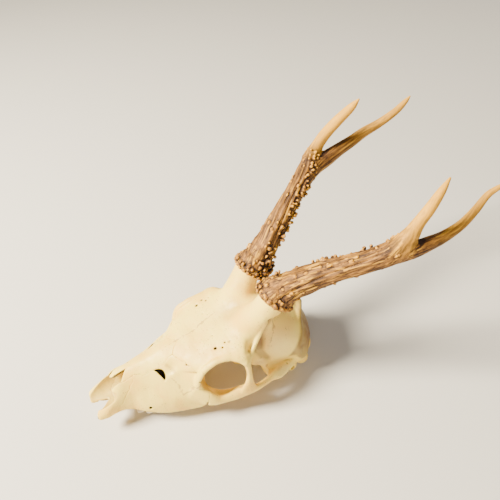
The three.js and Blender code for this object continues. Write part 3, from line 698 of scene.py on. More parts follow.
def node(tree, kind, inputs=None, **settings):
    """A shader node with its settings, its inputs given as numbers or as other nodes' outputs."""
    made = tree.nodes.new("ShaderNode" + kind)
    for name, value in settings.items():
        setattr(made, name, value)
    for name, value in (inputs or {}).items():
        if isinstance(value, bpy.types.NodeSocket):
            tree.links.new(value, made.inputs[name])
        else:
            made.inputs[name].default_value = value
    return made


def new_material(name, **constants):
    """A Principled material, with the numbers that are alike all over set on its own sockets."""
    material = bpy.data.materials.new(name)
    material.use_nodes = True
    shader = material.node_tree.nodes["Principled BSDF"]
    for socket, value in constants.items():
        shader.inputs[socket.replace("_", " ")].default_value = value
    return material, material.node_tree, shader


def new_group(name, inputs, outputs):
    """An empty node group with named number inputs and outputs, and its two end nodes."""
    group = bpy.data.node_groups.new(name, "ShaderNodeTree")
    for socket, kind, value in inputs:
        made = group.interface.new_socket(socket, in_out="INPUT", socket_type="NodeSocket" + kind)
        made.default_value = value
    for socket, kind in outputs:
        group.interface.new_socket(socket, in_out="OUTPUT", socket_type="NodeSocket" + kind)
    return group, group.nodes.new("NodeGroupInput"), group.nodes.new("NodeGroupOutput")


def math_node(tree, operation, *values, clamp=False):
    made = node(tree, "Math", operation=operation, use_clamp=clamp)
    for socket, value in zip(made.inputs, values):
        if isinstance(value, bpy.types.NodeSocket):
            tree.links.new(value, socket)
        else:
            socket.default_value = value
    return made.outputs[0]


def eased(tree, value, start, end, low=0.0, high=1.0):
    """A value eased from low to high as it goes from start to end."""
    made = node(tree, "MapRange", {"Value": value, "From Min": start, "From Max": end,
                                   "To Min": low, "To Max": high}, interpolation_type="SMOOTHSTEP")
    return made.outputs["Result"]


def mixed(tree, share, first, second):
    """A colour between two colours."""
    made = node(tree, "Mix", data_type="RGBA")
    for socket, value in ((made.inputs[0], share), (made.inputs[6], first), (made.inputs[7], second)):
        if isinstance(value, bpy.types.NodeSocket):
            tree.links.new(value, socket)
        elif isinstance(value, tuple):
            socket.default_value = (*value, 1)
        else:
            socket.default_value = value
    return made.outputs[2]


def noise(tree, place, scale, detail=3.0, roughness=0.55):
    made = node(tree, "TexNoise", {"Vector": place, "Scale": scale, "Detail": detail,
                                   "Roughness": roughness})
    return made.outputs["Fac"]


def kept_value(tree, name):
    """What write_value has kept for each point."""
    return node(tree, "Attribute", attribute_name=name).outputs["Fac"]


PORE_PATCHES = 160.0  # scales of the patches in which pores gather, and of the grain
FINE_GRAIN = 1400.0


def new_pore_group():
    """Pores and fine grain, on bone and antler alike."""
    group, ins, outs = new_group(
        "pores",
        [("Place", "Vector", (0, 0, 0)), ("Scale", "Float", 900.0), ("Share", "Float", 0.2)],
        [("Pits", "Float"), ("Grain", "Float")],
    )
    place = ins.outputs["Place"]
    cells = node(group, "TexVoronoi", {"Vector": place, "Scale": ins.outputs["Scale"]})
    patches = eased(group, noise(group, place, PORE_PATCHES, 2.0), 0.42, 0.68)
    size = math_node(group, "MULTIPLY", ins.outputs["Share"], patches)
    edge = math_node(group, "SUBTRACT", size, cells.outputs["Distance"])
    group.links.new(eased(group, edge, -0.06, 0.03), outs.inputs["Pits"])
    group.links.new(noise(group, place, FINE_GRAIN, 4.0, 0.6), outs.inputs["Grain"])
    return group


pore_group = new_pore_group()


def pores_of(tree, place, scale, share):
    """The pits and the grain at a place."""
    made = node(tree, "Group", node_tree=pore_group)
    tree.links.new(place, made.inputs["Place"])
    made.inputs["Scale"].default_value = scale
    made.inputs["Share"].default_value = share
    return made.outputs["Pits"], made.outputs["Grain"]


def finish_surface(tree, shader, colour, rough, height, strength, depth):
    """Links a colour, a roughness and a fine relief to the shader."""
    tree.links.new(colour, shader.inputs["Base Color"])
    tree.links.new(rough, shader.inputs["Roughness"])
    bump = node(tree, "Bump", {"Height": height, "Strength": strength, "Distance": depth})
    tree.links.new(bump.outputs["Normal"], shader.inputs["Normal"])


BONE_CREAM = (0.98, 0.73, 0.13)
BONE_WARM = (0.90, 0.50, 0.055)
# Tan of the bone's stains and of its painted shade.
BONE_TAN = (0.14, 0.058, 0.013)
# Pale of the bone's blotches and of its painted light.
BONE_PALE = (0.94, 0.72, 0.27)
# Near black of painted shade inside small holes.
HOLE_SHADE_BLACK = (0.025, 0.014, 0.008)
SEAM_BROWN = (0.36, 0.19, 0.07)


def bone_material():
    material, tree, shader = new_material("dry_bone", Subsurface_Weight=0.06, Subsurface_Scale=0.002)
    place = node(tree, "TexCoord").outputs["Object"]
    clouds = noise(tree, place, 42.0, 3.0)
    blotches = noise(tree, place, 170.0, 4.0, 0.6)
    colour = mixed(tree, eased(tree, clouds, 0.40, 0.70, 0, 0.7), BONE_CREAM, BONE_WARM)
    colour = mixed(tree, eased(tree, blotches, 0.5, 0.75, 0, 0.25), colour, BONE_PALE)
    # Painted light: pale on the places that should look lit.
    painted_lit_mix = math_node(tree, "MULTIPLY", kept_value(tree, "pale"), 0.85)
    colour = mixed(tree, painted_lit_mix, colour, BONE_PALE)
    # Painted shade in hollows and creases, in the tan colour.
    hollow_shade = eased(tree, kept_value(tree, "hollow"), 0.42, 1.0, 0, 0.8)
    # Stains and painted shade together, darkened towards tan.
    grime_and_shade = math_node(tree, "MULTIPLY", kept_value(tree, "warm"),
                      eased(tree, clouds, 0.35, 0.6, 0.72, 1.0))
    deep = math_node(tree, "ADD", grime_and_shade, hollow_shade, clamp=True)
    colour = mixed(tree, math_node(tree, "MULTIPLY", deep, 0.95), colour, BONE_TAN)
    pits, grain = pores_of(tree, place, 700.0, 0.22)
    colour = mixed(tree, math_node(tree, "MULTIPLY", pits, 0.55), colour, BONE_TAN)
    ragged = math_node(tree, "ADD", kept_value(tree, "seam"),
                       eased(tree, blotches, 0.35, 0.7, -0.15, 0.45))
    line = eased(tree, ragged, 0.25, 0.85, 0.55, 0)
    colour = mixed(tree, line, colour, SEAM_BROWN)
    # Painted shade, near black, inside the small holes.
    painted_hole_shade = math_node(tree, "MULTIPLY", kept_value(tree, "cavity"), 0.92)
    colour = mixed(tree, painted_hole_shade, colour, HOLE_SHADE_BLACK)
    rough = eased(tree, blotches, 0.3, 0.75, 0.42, 0.62)
    relief = math_node(tree, "MULTIPLY_ADD", grain, 0.25, blotches)
    relief = math_node(tree, "SUBTRACT", relief, math_node(tree, "MULTIPLY", pits, 0.8))
    relief = math_node(tree, "SUBTRACT", relief, line)
    finish_surface(tree, shader, colour, rough, relief, 0.5, 0.0004)
    return material


dry_bone = bone_material()


# ==== nasal bones ====
# Two long thin plates that roof the nose. Each ends in a free point in front, and they meet along
# the middle, the face beside them and the forehead behind in fine wavy seams.

NASAL_THICKNESS = 3.2
NASAL_OUTLINE = [[0, 46], [1.4, 42.6], [3, 41.4], [5, 44.6], [7.6, 49], [6.4, 55], [7, 61],
                 [9.4, 66.2], [9.9, 74], [10.6, 80], [8, 88], [0, 94.5]]
WORN_NASAL = {"point": [0, 54, 0], "way": [-0.64, -0.77, 0]}  # broken off the left one


def outline_distance(across, along, outline):
    """Distance to a closed flat outline, less than zero inside it."""
    least = np.full(np.broadcast(across, along).shape, FAR)
    inside = np.zeros(least.shape, bool)
    corners = np.array(outline, float)
    for (ax, ay), (bx, by) in zip(corners, np.roll(corners, -1, axis=0)):
        dx, dy = bx - ax, by - ay
        share = np.clip(((across - ax) * dx + (along - ay) * dy) / (dx * dx + dy * dy), 0, 1)
        least = np.minimum(least, np.hypot(across - ax - share * dx, along - ay - share * dy))
        if dy:
            inside ^= ((ay > along) != (by > along)) & (across < ax + (along - ay) * dx / dy)
    return np.where(inside, -least, least)


side, station, height = half_skull.everywhere()
seam_wobble = (0.35 * waves((side, station, height), 3.2, 21, 6)
               + 0.25 * waves((side, station, height), 8, 22, 5)).astype(np.float32)
nasal_plan = [[-10, NASAL_OUTLINE[0][1]], *NASAL_OUTLINE, [-10, NASAL_OUTLINE[-1][1]]]
nasal_plan_distance = outline_distance(side[:, :, 0], station[:, :, 0], nasal_plan)[:, :, None]
nasal_depth = rounded_block(FACE, 1.5, 3)(side, station, height)
nasal_region = np.maximum(nasal_plan_distance + seam_wobble, -nasal_depth - NASAL_THICKNESS)
nasal_region = np.maximum(nasal_region, 15 - height)


def part_of(field, distance):
    """A Field like another with other distances."""
    made = Field(field.first * field.voxel, field.last * field.voxel, field.voxel)
    made.first, made.last = field.first, field.last
    made.distance = distance.astype(np.float32)
    return made


nasal = part_of(half_skull, within(half_skull.distance, nasal_region, -side))
worn_nasal = part_of(nasal, nasal.distance.copy())
worn_nasal.cut(beyond(WORN_NASAL["point"], WORN_NASAL["way"]), [-2, 38, 18], [14, 60, 46], 0.5)
for name, field, mirrored in (("nasal_left", worn_nasal, False), ("nasal_right", nasal, True)):
    piece = bone_piece(name + "_bone", field, dry_bone, mirrored)
    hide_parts(name)
    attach(piece, "root")


# ==== premaxillae ====
# The two thin bones at the tip of the snout, which carry no teeth in deer. Each rises along the edge
# of the nose opening to the nasal bone, and joins the face in a slanting seam.

PREMAXILLA_SEAM = {"station": 57, "height": 34, "back": 0.85, "up": 0.5}
premaxilla_region = ((station - PREMAXILLA_SEAM["station"]) * PREMAXILLA_SEAM["back"]
                     - (height - PREMAXILLA_SEAM["height"]) * PREMAXILLA_SEAM["up"] + seam_wobble)
below_nasals = within(half_skull.distance, -nasal_region)
nose_top = np.maximum(np.maximum(side - NOSE_TOP["half"], station - NOSE_TOP["back"]),
                      NOSE_TOP["low"] - height)
premaxilla = part_of(half_skull, within(below_nasals, premaxilla_region, -side, -nose_top))
worn = part_of(premaxilla, premaxilla.distance.copy())
for break_plane in (WORN_EDGE, WORN_TIP):
    worn.cut(beyond(break_plane["point"], break_plane["way"]), [0, 20, -8], [20, 44, 30], 0.6)
for name, field, mirrored in (("premaxilla_left", worn, False), ("premaxilla_right", premaxilla, True)):
    piece = bone_piece(name + "_bone", field, dry_bone, mirrored)
    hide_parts(name)
    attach(piece, "root")


# ==== cheekbones ====
# The arch below and behind each eye. It runs from a notched seam on the cheek back to the braincase,
# and sends a bar up to the brow.

CHEEK_FRONT = {"station": 106, "height": 18, "lean": 0.2}
CHEEK_BACK = {"station": 161, "height": 27, "lean": 0.9}
CHEEK_TOP = 47
CHEEK_INNER = [[126, 27.5], [132, 32.6]]  # station and side of the seam's bend
cheek_inner = np.interp(station, *np.transpose(CHEEK_INNER))
cheek_region = np.maximum(cheek_inner - side, height - CHEEK_TOP)
cheek_front = CHEEK_FRONT["station"] + CHEEK_FRONT["lean"] * (height - CHEEK_FRONT["height"])
cheek_back = CHEEK_BACK["station"] + CHEEK_BACK["lean"] * (height - CHEEK_BACK["height"])
cheek_region = np.maximum(cheek_region, np.maximum(cheek_front - station, station - cheek_back))
cheek_region = cheek_region + seam_wobble
cheekbone = part_of(half_skull, within(half_skull.distance, cheek_region))
for name, mirrored in (("cheekbone_left", False), ("cheekbone_right", True)):
    piece = bone_piece(name + "_bone", cheekbone, dry_bone, mirrored)
    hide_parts(name)
    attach(piece, "root")


# ==== face ====
# The upper jaws and tear bones, grown together with the palate. The seam with the forehead runs
# from the nasal bones out to the front of each orbit.

FACE_SEAM = {"side": 8, "station": 88, "height": 50, "sweep": 0.62, "lean": 0.45}
face_seam = (FACE_SEAM["station"] + FACE_SEAM["sweep"] * np.maximum(side - FACE_SEAM["side"], 0)
             + FACE_SEAM["lean"] * np.clip(FACE_SEAM["height"] - height, 0, 60))
face_region = station - face_seam + seam_wobble
rest = within(below_nasals, -premaxilla_region, -cheek_region)
face = both_sides(part_of(half_skull, within(rest, face_region)))
piece = bone_piece("face_bones", face, dry_bone)
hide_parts("face")
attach(piece, "root")


# ==== braincase ====
# The forehead, the pedicles that carry the antlers, the thin round vault of the brain, the ear
# capsules and the condyles. The pedicles end flat under the burrs.

FLOOR_CLEARANCE = 0.02

# Each antler as seen on the left: its beam with the front tine, and its rear tine, as side, station,
# height and radius. The burr's seam is the first point.
ANTLERS = {
    "left": {
        "sign": 1,
        "main": [[20.8, 160, 99.2, 10.5], [20.8, 160.4, 99.9, 13.2], [20.8, 161.7, 102, 13.4],
                 [21.8, 164.4, 105.8, 11.2], [27.2, 172.2, 115.6, 9.8], [34.8, 184.3, 127.6, 8.8],
                 [43.8, 197.2, 138.9, 7.8], [52.7, 212.3, 150.4, 7.2], [56.8, 220.8, 158.7, 6.9],
                 [58, 226.7, 168.7, 5.4], [57.7, 230.4, 177.6, 4], [57.2, 235.9, 187.3, 3.5],
                 [54.7, 242.9, 196.5, 2.5], [51.8, 248.9, 202.5, 0.7]],
        "rear": [[52, 212, 150, 4.5], [56.2, 219.6, 155, 5.8], [60.8, 228.6, 158.9, 5.5],
                 [62, 241.7, 162.9, 4.5], [61.5, 251.8, 165, 3.8], [59.8, 264.9, 169.8, 3.1],
                 [57.1, 275.1, 176.6, 2.7], [54.4, 283.6, 184.4, 2.2], [54.8, 290.4, 189.4, 1.6],
                 [55.6, 296, 193, 0.5]],
    },
    "right": {
        "sign": -1,
        "main": [[19.3, 159.5, 91.6, 10.5], [19.4, 159.9, 92.2, 13.2], [19.6, 161.2, 94.3, 13.4],
                 [20.8, 164.6, 98.8, 11.2], [23.6, 172.6, 108.6, 9.2], [31, 185.6, 124.5, 8.1],
                 [38.2, 197.1, 135.6, 7.5], [43.9, 206.4, 143.2, 7.3], [51.2, 216.1, 151.5, 6.9],
                 [56.8, 221.4, 158.4, 5.9], [59.3, 226.4, 164.6, 4.7], [59.7, 231.9, 173.5, 4.3],
                 [56.7, 238.9, 185.6, 4], [52.7, 245.8, 197.2, 3], [50.7, 249.4, 204, 0.7]],
        "rear": [[46, 210.6, 145, 5], [51.8, 222.9, 151.7, 6.4], [54.7, 233.5, 155.2, 6.2],
                 [57.1, 244.6, 159.4, 5.2], [58.4, 257.2, 165, 4.5], [58.5, 266.4, 170.8, 4],
                 [56.1, 278.2, 178.8, 3.3], [54.8, 288.7, 187, 2.8], [55.2, 295.8, 193.6, 2.1],
                 [55.8, 300, 197.8, 0.6]],
    },
}


def placed(stations, sign):
    return [[side * sign, *others] for side, *others in stations]


def burr_axis(antler):
    """The middle of the seam under an antler's burr, and the way that it faces."""
    base, _, top = np.array(placed(antler["main"][:3], antler["sign"]), float)[:, :3]
    return base, unit(top - base)


braincase = both_sides(part_of(half_skull, within(rest, -face_region)))
for antler in ANTLERS.values():
    base, direction = burr_axis(antler)
    braincase.cut(beyond(base, direction), base - 22, base + 22, 0.4)
floor_contact = [0, PROCESS_TIP["station"], PROCESS_TIP["height"] + FLOOR_CLEARANCE]
floor_way = [0, TILT_SIN, -TILT_COS]
braincase.cut(beyond(floor_contact, floor_way), [-30, 180, -8], [30, 200, 14], 0.3)
piece = bone_piece("braincase_bones", braincase, dry_bone)
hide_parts("braincase")
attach(piece, "root")


# ==== cheek teeth ====
# Three premolars and three molars a side, of hard enamel round softer dentine. Each molar has two
# lobes. The crowns are well worn, and stand in sockets along the edge of the jaw.

# Side, station, width and crown height along the row.
TOOTH_ROW = [[11.2, 56.5, 4.5, 3.2], [12, 61, 7, 4], [13.6, 68, 8.5, 4.6], [15.2, 76, 9.6, 5],
             [16.4, 85, 10.4, 5.4], [17, 94, 10.4, 5.5], [16.5, 102, 9.4, 5.5], [15.8, 108, 6, 5.5]]
# Lobes and length of each tooth: three premolars, then three molars.
TEETH = [(1, 6.4), (1, 7.2), (1, 7.4), (2, 10.2), (2, 11), (2, 9.6)]
TOOTH_VOXEL = VOXEL * 0.7
ROOT_DEPTH = 3  # how far each crown reaches up into its socket
CUP = 0.35  # how far the worn middle of a lobe is hollowed
tooth_side = profile([[t, s] for s, t, w, c in TOOTH_ROW])
tooth_width = profile([[t, w] for s, t, w, c in TOOTH_ROW])
tooth_crown = profile([[t, c] for s, t, w, c in TOOTH_ROW])


def tooth_lobe(at, width, length, crown):
    """Distance to one lobe: worn nearly flat below, and rounded round its edge."""
    def distance(side, station, height):
        out = side - at[0]
        along = (station - at[1]) / (length / 2)
        taper = 1 + 0.05 * (height + crown)
        ring = (np.abs(2 * out / (width * taper)) ** 2.4 + np.abs(along) ** 3.4 + 1e-6) ** (1 / 2.6)
        wall = (ring - 1) * length / 2
        bottom = -crown + CUP * np.cos(along * 2.2)
        return -blended_least(-wall, height - bottom, 0.8)

    return distance


teeth = Field([4, 54, -8], [26, 112, 6], TOOTH_VOXEL)
tooth_front = TOOTH_ROW[0][1] - 0.4
for lobes, length in TEETH:
    for lobe in range(lobes):
        lobe_length = length / lobes
        middle = tooth_front + (lobe + 0.5) * lobe_length
        at = np.array([float(tooth_side(middle)), middle])
        width = float(tooth_width(middle)) * 0.96
        crown = float(tooth_crown(middle))
        low = [at[0] - width, middle - lobe_length, -crown - 1]
        high = [at[0] + width, middle + lobe_length, ROOT_DEPTH]
        teeth.add(tooth_lobe(at, width, lobe_length * 1.02, crown), low, high, 0.35 if lobe else 0)
        pit = [[at[0] - 0.6, middle - lobe_length * 0.25, -crown + 0.1, 0.5],
               [at[0] + 0.9, middle, -crown + 0.1, 0.7],
               [at[0] - 0.6, middle + lobe_length * 0.25, -crown + 0.1, 0.5]]
        teeth.carve(rod(pit, TOOTH_VOXEL, margin=2), 0.3)
    tooth_front += length
teeth.cut(beyond([0, 0, ROOT_DEPTH - 0.5], UPRIGHT), [4, 54, -8], [26, 112, 6], 0.3)

ENAMEL = (0.72, 0.63, 0.46)
TOOTH_STAIN = (0.30, 0.19, 0.09)


def enamel_material():
    material, tree, shader = new_material("worn_enamel", Roughness=0.28, Coat_Weight=0.15)
    place = node(tree, "TexCoord").outputs["Object"]
    streaks = node(tree, "Mapping", {"Vector": place, "Scale": (1, 1, 0.25)}).outputs["Vector"]
    stain_and_shade = noise(tree, streaks, 520.0, 4.0, 0.6)
    gum_line = math_node(tree, "MULTIPLY", kept_value(tree, "gum"), 0.7)
    dirt = math_node(tree, "ADD", eased(tree, stain_and_shade, 0.5, 0.78, 0, 0.55), gum_line, clamp=True)
    tree.links.new(mixed(tree, dirt, ENAMEL, TOOTH_STAIN), shader.inputs["Base Color"])
    bump = node(tree, "Bump", {"Height": stain_and_shade, "Strength": 0.2, "Distance": 0.0003})
    tree.links.new(bump.outputs["Normal"], shader.inputs["Normal"])
    return material


worn_enamel = enamel_material()
for name, mirrored in (("cheek_teeth_left", False), ("cheek_teeth_right", True)):
    points, quads = surface(teeth)
    if mirrored:
        points, quads = mirror_of(points, quads)
    piece = new_piece(name, points, quads, worn_enamel)
    write_value(piece, "gum", np.clip(1 + points[:, 2] / 2.5, 0, 1))
    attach(piece, "root")


# ==== antlers ====
# Solid bone, grown and shed each year. A burr of pearls rings the base, a grooved and pearled beam
# rises from it, and a fork parts it into a front and a rear tine with rubbed, pale points.

ANTLER_VOXEL = 0.42
BEAM_STEPS = 5
GRAIN_RIDGES = 9
PEARLS_IN_RING = 23
BURR_RINGS = [(0.06, 0.9, 1.9), (0.105, 0.97, 1.7), (0.15, 0.98, 1.5)]  # along, out, size
PEARLS_ON_BEAM = 230
PEARL_ROOM = {"first": 0.17, "length": 0.5}  # the part of the beam that has pearls
BACK_SHARE = 0.62  # of the beam's pearls, those on its inner back, which are larger
RELIEF_REACH = 1.5  # the size of the ridges and dents that take colour
GRAIN_STRETCH = 0.1  # the grain runs along the antler


def beam_relief(angle, along):
    """Long ridges with grooves between them, strong near the burr and faint on the tines."""
    strength = np.interp(along, [0, 0.1, 0.25, 0.6, 0.72, 1], [0.03, 0.08, 0.17, 0.14, 0.05, 0.005])
    turned = angle + 1.1 * along + 0.3 * np.sin(11 * along + 2 * angle)
    ridges = np.abs(np.cos(GRAIN_RIDGES / 2 * turned)) ** 0.8 - 0.6
    broken = 0.75 + 0.25 * np.sin(46 * along + 3 * angle) * np.cos(29 * along - 2 * angle)
    lumps = 0.3 * np.sin(3 * angle + 31 * along) * np.sin(57 * along - angle)
    return strength * (ridges * broken + lumps)


def tine_relief(angle, along):
    strength = np.interp(along, [0, 0.3, 0.6, 1], [0.06, 0.05, 0.02, 0.004])
    ridges = np.abs(np.cos(3.5 * (angle + 0.8 * along))) ** 0.8 - 0.6
    return strength * ridges


def grained_rod(stations, voxel, facing, relief, margin=3):
    """A Field of a round rod whose radius varies by relief(angle, along)."""
    rows = smooth_path(stations, BEAM_STEPS)
    centre, radius = rows[:, :3], rows[:, 3]
    tangent = unit(np.gradient(centre, axis=0))
    first_axis = unit(np.cross(facing, tangent))
    second_axis = np.cross(tangent, first_axis)
    reach = radius.max() * 1.15 + margin
    body = Field(centre.min(0) - reach, centre.max(0) + reach, voxel)
    pieces = len(rows) - 1
    for k in range(pieces):
        start, along = centre[k], centre[k + 1] - centre[k]
        axes = [unit(axis[k] + axis[k + 1]) for axis in (first_axis, second_axis)]

        def stretch(side, station, height):
            off = [side - start[0], station - start[1], height - start[2]]
            share = np.clip(sum(o * a for o, a in zip(off, along)) / (along @ along), 0, 1)
            off = [o - share * a for o, a in zip(off, along)]
            u, v = (sum(o * a for o, a in zip(off, axis)) for axis in axes)
            own = radius[k] + share * (radius[k + 1] - radius[k])
            own = own * (1 + relief(np.arctan2(v, u), (k + share) / pieces))
            return np.sqrt(sum(o**2 for o in off)) - own

        ends = centre[k:k + 2]
        own_reach = radius[k:k + 2].max() * 1.15 + margin
        body.add(stretch, ends.min(0) - own_reach, ends.max(0) + own_reach)
    return body, rows


def add_pearl(field, foot, outward_way, size, stand):
    """One pearl: a bead on a short neck."""
    head = foot + outward_way * stand
    low = np.minimum(foot, head) - size - 1.4
    high = np.maximum(foot, head) + size + 1.4
    neck = head - foot
    length = max(neck @ neck, 1e-6)

    def bead(side, station, height):
        off = [side - foot[0], station - foot[1], height - foot[2]]
        share = np.clip(sum(o * n for o, n in zip(off, neck)) / length, 0, 1)
        off = [o - share * n for o, n in zip(off, neck)]
        return np.sqrt(sum(o**2 for o in off)) - size * (0.72 + 0.28 * share)

    field.add(bead, low, high, 0.5)


def nearest_on_path(points, rows):
    """For each point, how far along a path it lies, and its offset from the path."""
    centre = rows[:, :3]
    best = np.full(len(points), np.inf)
    along = np.zeros(len(points))
    offset = np.zeros((len(points), 3))
    for k in range(len(rows) - 1):
        step = centre[k + 1] - centre[k]
        share = np.clip((points - centre[k]) @ step / (step @ step), 0, 1)
        off = points - centre[k] - share[:, None] * step
        far = (off**2).sum(axis=1)
        closer = far < best
        best[closer] = far[closer]
        along[closer] = (k + share[closer]) / (len(rows) - 1)
        offset[closer] = off[closer]
    return along, offset


def antler_field(antler, seed):
    sign = antler["sign"]
    inner_back = np.array([-0.72 * sign, 0.62, 0.3])
    body, main_rows = grained_rod(placed(antler["main"], sign), ANTLER_VOXEL, inner_back, beam_relief)
    rear, rear_rows = grained_rod(placed(antler["rear"], sign), ANTLER_VOXEL, inner_back, tine_relief)
    low = np.minimum(body.first, rear.first) * ANTLER_VOXEL
    high = np.maximum(body.last, rear.last) * ANTLER_VOXEL
    field = Field(low, high, ANTLER_VOXEL)
    field.join(body)
    field.join(rear, 4)
    rng = np.random.default_rng(seed)
    centre, radius = main_rows[:, :3], main_rows[:, 3]
    tangent = unit(np.gradient(centre, axis=0))
    pieces = len(main_rows) - 1

    def surface_place(share, angle):
        spot = share * pieces
        k = min(int(spot), pieces - 1)
        part = spot - k
        middle = centre[k] + part * (centre[k + 1] - centre[k])
        first = unit(np.cross(inner_back, tangent[k]))
        second = np.cross(tangent[k], first)
        way = first * math.cos(angle) + second * math.sin(angle)
        return middle, way, radius[k] + part * (radius[k + 1] - radius[k]), tangent[k]

    for ring, (share, spread, size) in enumerate(BURR_RINGS):
        for k in range(PEARLS_IN_RING):
            angle = (k + 0.5 * ring + rng.uniform(-0.25, 0.25)) * 2 * math.pi / PEARLS_IN_RING
            middle, way, own, up = surface_place(share + rng.uniform(-0.012, 0.012), angle)
            stand = rng.uniform(0.2, 1.5)
            own_size = size * rng.uniform(0.7, 1.15)
            add_pearl(field, middle + way * own * spread, unit(way + 0.2 * up), own_size, stand)
    for k in range(PEARLS_ON_BEAM):
        share = PEARL_ROOM["first"] + PEARL_ROOM["length"] * rng.uniform(0, 1) ** 1.35
        towards_back = rng.uniform() < BACK_SHARE
        angle = math.pi / 2 + rng.normal(0, 0.55) if towards_back else rng.uniform(-math.pi, math.pi)
        fade = 1 - (share - PEARL_ROOM["first"]) / (1.1 * PEARL_ROOM["length"])
        size = rng.uniform(0.7, 1.5 if towards_back else 1.0) * (0.8 + 0.35 * fade)
        stand = rng.uniform(0.2, 3.4) * (0.3 + 0.7 * fade)
        middle, way, own, up = surface_place(share, angle)
        lean = way + 0.35 * up if towards_back else 0.15 * way + up
        add_pearl(field, middle + way * (own - 0.1), unit(lean), size, stand)
    base, direction = burr_axis(antler)
    field.cut(beyond(base, -direction), base - 40, base + 40, 0.4)
    return field, main_rows, rear_rows


ANTLER_DARK = (0.035, 0.013, 0.004)
ANTLER_BROWN = (0.19, 0.082, 0.014)
ANTLER_GOLD = (0.39, 0.165, 0.016)
ANTLER_PALE = (0.68, 0.34, 0.022)


def antler_material():
    material, tree, shader = new_material("pearled_antler", Specular_IOR_Level=0.3)
    place = node(tree, "TexCoord").outputs["Object"]
    grain = node(tree, "Attribute", attribute_name="grain").outputs["Vector"]
    streaks = noise(tree, grain, 0.9, 5.0, 0.65)
    clouds = noise(tree, place, 90.0, 3.0)
    relief = kept_value(tree, "relief")
    hollow = kept_value(tree, "hollow")
    tip = kept_value(tree, "tip")
    high = math_node(tree, "MULTIPLY_ADD", relief, 0.55, 0.30)
    high = math_node(tree, "ADD", high, eased(tree, streaks, 0.35, 0.7, -0.22, 0.26))
    high = math_node(tree, "SUBTRACT", high, eased(tree, hollow, 0.15, 0.8, 0, 0.5))
    high = math_node(tree, "ADD", high, eased(tree, clouds, 0.35, 0.7, -0.08, 0.1), clamp=True)
    colour = mixed(tree, eased(tree, high, 0.0, 0.34), ANTLER_DARK, ANTLER_BROWN)
    colour = mixed(tree, eased(tree, high, 0.32, 0.62), colour, ANTLER_GOLD)
    colour = mixed(tree, eased(tree, high, 0.62, 0.95), colour, ANTLER_PALE)
    long_streaks = eased(tree, noise(tree, grain, 0.45, 2.0, 0.5), 0.55, 0.67, 0, 0.65)
    colour = mixed(tree, long_streaks, colour, ANTLER_PALE)
    rubbed = math_node(tree, "MULTIPLY", tip, eased(tree, streaks, 0.2, 0.6, 0.7, 1.0))
    colour = mixed(tree, rubbed, colour, ANTLER_PALE)
    rough = eased(tree, high, 0.1, 0.9, 0.7, 0.45)
    pits, fine_grain = pores_of(tree, place, 1100.0, 0.15)
    height = math_node(tree, "MULTIPLY_ADD", fine_grain, 0.3, streaks)
    finish_surface(tree, shader, colour, rough, height, 0.5, 0.0006)
    return material


pearled_antler = antler_material()
for name, seed in (("left", 41), ("right", 97)):
    field, main_rows, rear_rows = antler_field(ANTLERS[name], seed)
    points, quads = surface(field)
    out = outward(points, quads)
    piece = new_piece("antler_" + name, points, quads, pearled_antler)
    main_along, main_off = nearest_on_path(points, main_rows)
    rear_along, rear_off = nearest_on_path(points, rear_rows)
    main_far, rear_far = np.linalg.norm(main_off, axis=1), np.linalg.norm(rear_off, axis=1)
    main_radius = np.interp(main_along, np.linspace(0, 1, len(main_rows)), main_rows[:, 3])
    rear_radius = np.interp(rear_along, np.linspace(0, 1, len(rear_rows)), rear_rows[:, 3])
    on_rear = (rear_far - rear_radius) < (main_far - main_radius)
    dent = 1 - np.clip(field.at(points + RELIEF_REACH * out) / RELIEF_REACH, 0, 1)
    stand = 1 + np.clip(field.at(points - RELIEF_REACH * out) / RELIEF_REACH, -1, 0)
    wide = 1 - np.clip(field.at(points + 4 * out) / 4, 0, 1)
    write_value(piece, "relief", np.clip(2.2 * stand - 2.5 * dent, -1, 1))
    write_value(piece, "hollow", wide)
    rear_tip = np.interp(rear_along, [0.3, 1.0], [0, 1])
    main_tip = np.interp(main_along, [0.6, 0.82], [0, 1])
    write_value(piece, "tip", np.where(on_rear, rear_tip, main_tip))
    along_mm = np.where(on_rear, 150 + 90 * rear_along, 200 * main_along)
    off = np.where(on_rear[:, None], rear_off, main_off)
    stretched = off + GRAIN_STRETCH * along_mm[:, None]
    grain = piece.data.attributes.new("grain", "FLOAT_VECTOR", "POINT")
    grain.data.foreach_set("vector", stretched.astype(np.float32).ravel())
    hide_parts(*(f"antler_{name}_{part}" for part in ("beam", "front_tine", "rear_tine")))
    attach(piece, "root")


# ==== table, light and camera ====
# A plain pale table under soft studio light. The camera looks down on the left side of the skull.

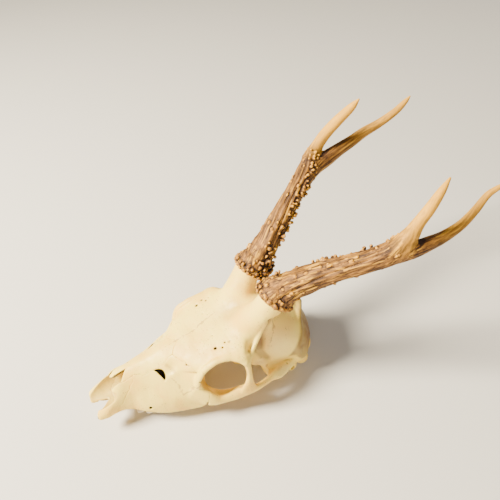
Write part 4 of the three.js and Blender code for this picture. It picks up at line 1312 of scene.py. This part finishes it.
TABLE_COLOUR = (0.62, 0.59, 0.55)
VIEW = {"centre": [-47.43, 180.48, 60.75], "distance": 0.4127, "azimuth": 70.88, "elevation": 44.69,
        "roll": 4.67, "lens": 36, "sensor": 36}  # centre: from the skull's nose tip and socket rim

bpy.ops.mesh.primitive_plane_add(size=6, location=(0, 0, 0))
table = bpy.context.object
table.name = "table"
table_material, table_tree, table_shader = new_material("pale_table", Roughness=0.8)
table_shader.inputs["Base Color"].default_value = (*TABLE_COLOUR, 1)
table.data.materials.append(table_material)
table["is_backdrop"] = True


def area_light(name, at, size, power, colour):
    light = bpy.data.lights.new(name, "AREA")
    light.size = size
    light.energy = power
    light.color = colour
    lamp = bpy.data.objects.new(name, light)
    lamp.location = at
    lamp.rotation_mode = "QUATERNION"
    lamp.rotation_quaternion = (Vector((0, 0, 0.06)) - Vector(at)).to_track_quat("-Z", "Y")
    bpy.context.scene.collection.objects.link(lamp)


area_light("key", (-0.15, -0.85, 1.0), 0.35, 90, (1.0, 0.91, 0.71))
area_light("fill", (1.1, -0.3, 0.6), 1.0, 9, (1.0, 0.88, 0.70))
area_light("back", (-0.3, 1.1, 0.8), 0.8, 3, (0.96, 0.97, 1.0))
world = bpy.data.worlds.new("studio")
world.use_nodes = True
world.node_tree.nodes["Background"].inputs["Color"].default_value = (1, 0.95, 0.87, 1)
world.node_tree.nodes["Background"].inputs["Strength"].default_value = 0.18
bpy.context.scene.world = world

azimuth, elevation = math.radians(VIEW["azimuth"]), math.radians(VIEW["elevation"])
back = Vector((math.sin(azimuth) * math.cos(elevation), -math.cos(azimuth) * math.cos(elevation),
               math.sin(elevation)))
camera_data = bpy.data.cameras.new("camera")
camera_data.lens = VIEW["lens"]
camera_data.sensor_width = VIEW["sensor"]
camera_data.clip_start = 0.01
camera = bpy.data.objects.new("camera", camera_data)
camera.location = Vector((SHIFT + VIEW["centre"]) * MM) + back * VIEW["distance"]
camera.rotation_mode = "QUATERNION"
level = (-back).to_track_quat("-Z", "Y")
camera.rotation_quaternion = level @ Quaternion((0, 0, 1), -math.radians(VIEW["roll"]))
bpy.context.scene.collection.objects.link(camera)
bpy.context.scene.camera = camera

low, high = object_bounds()
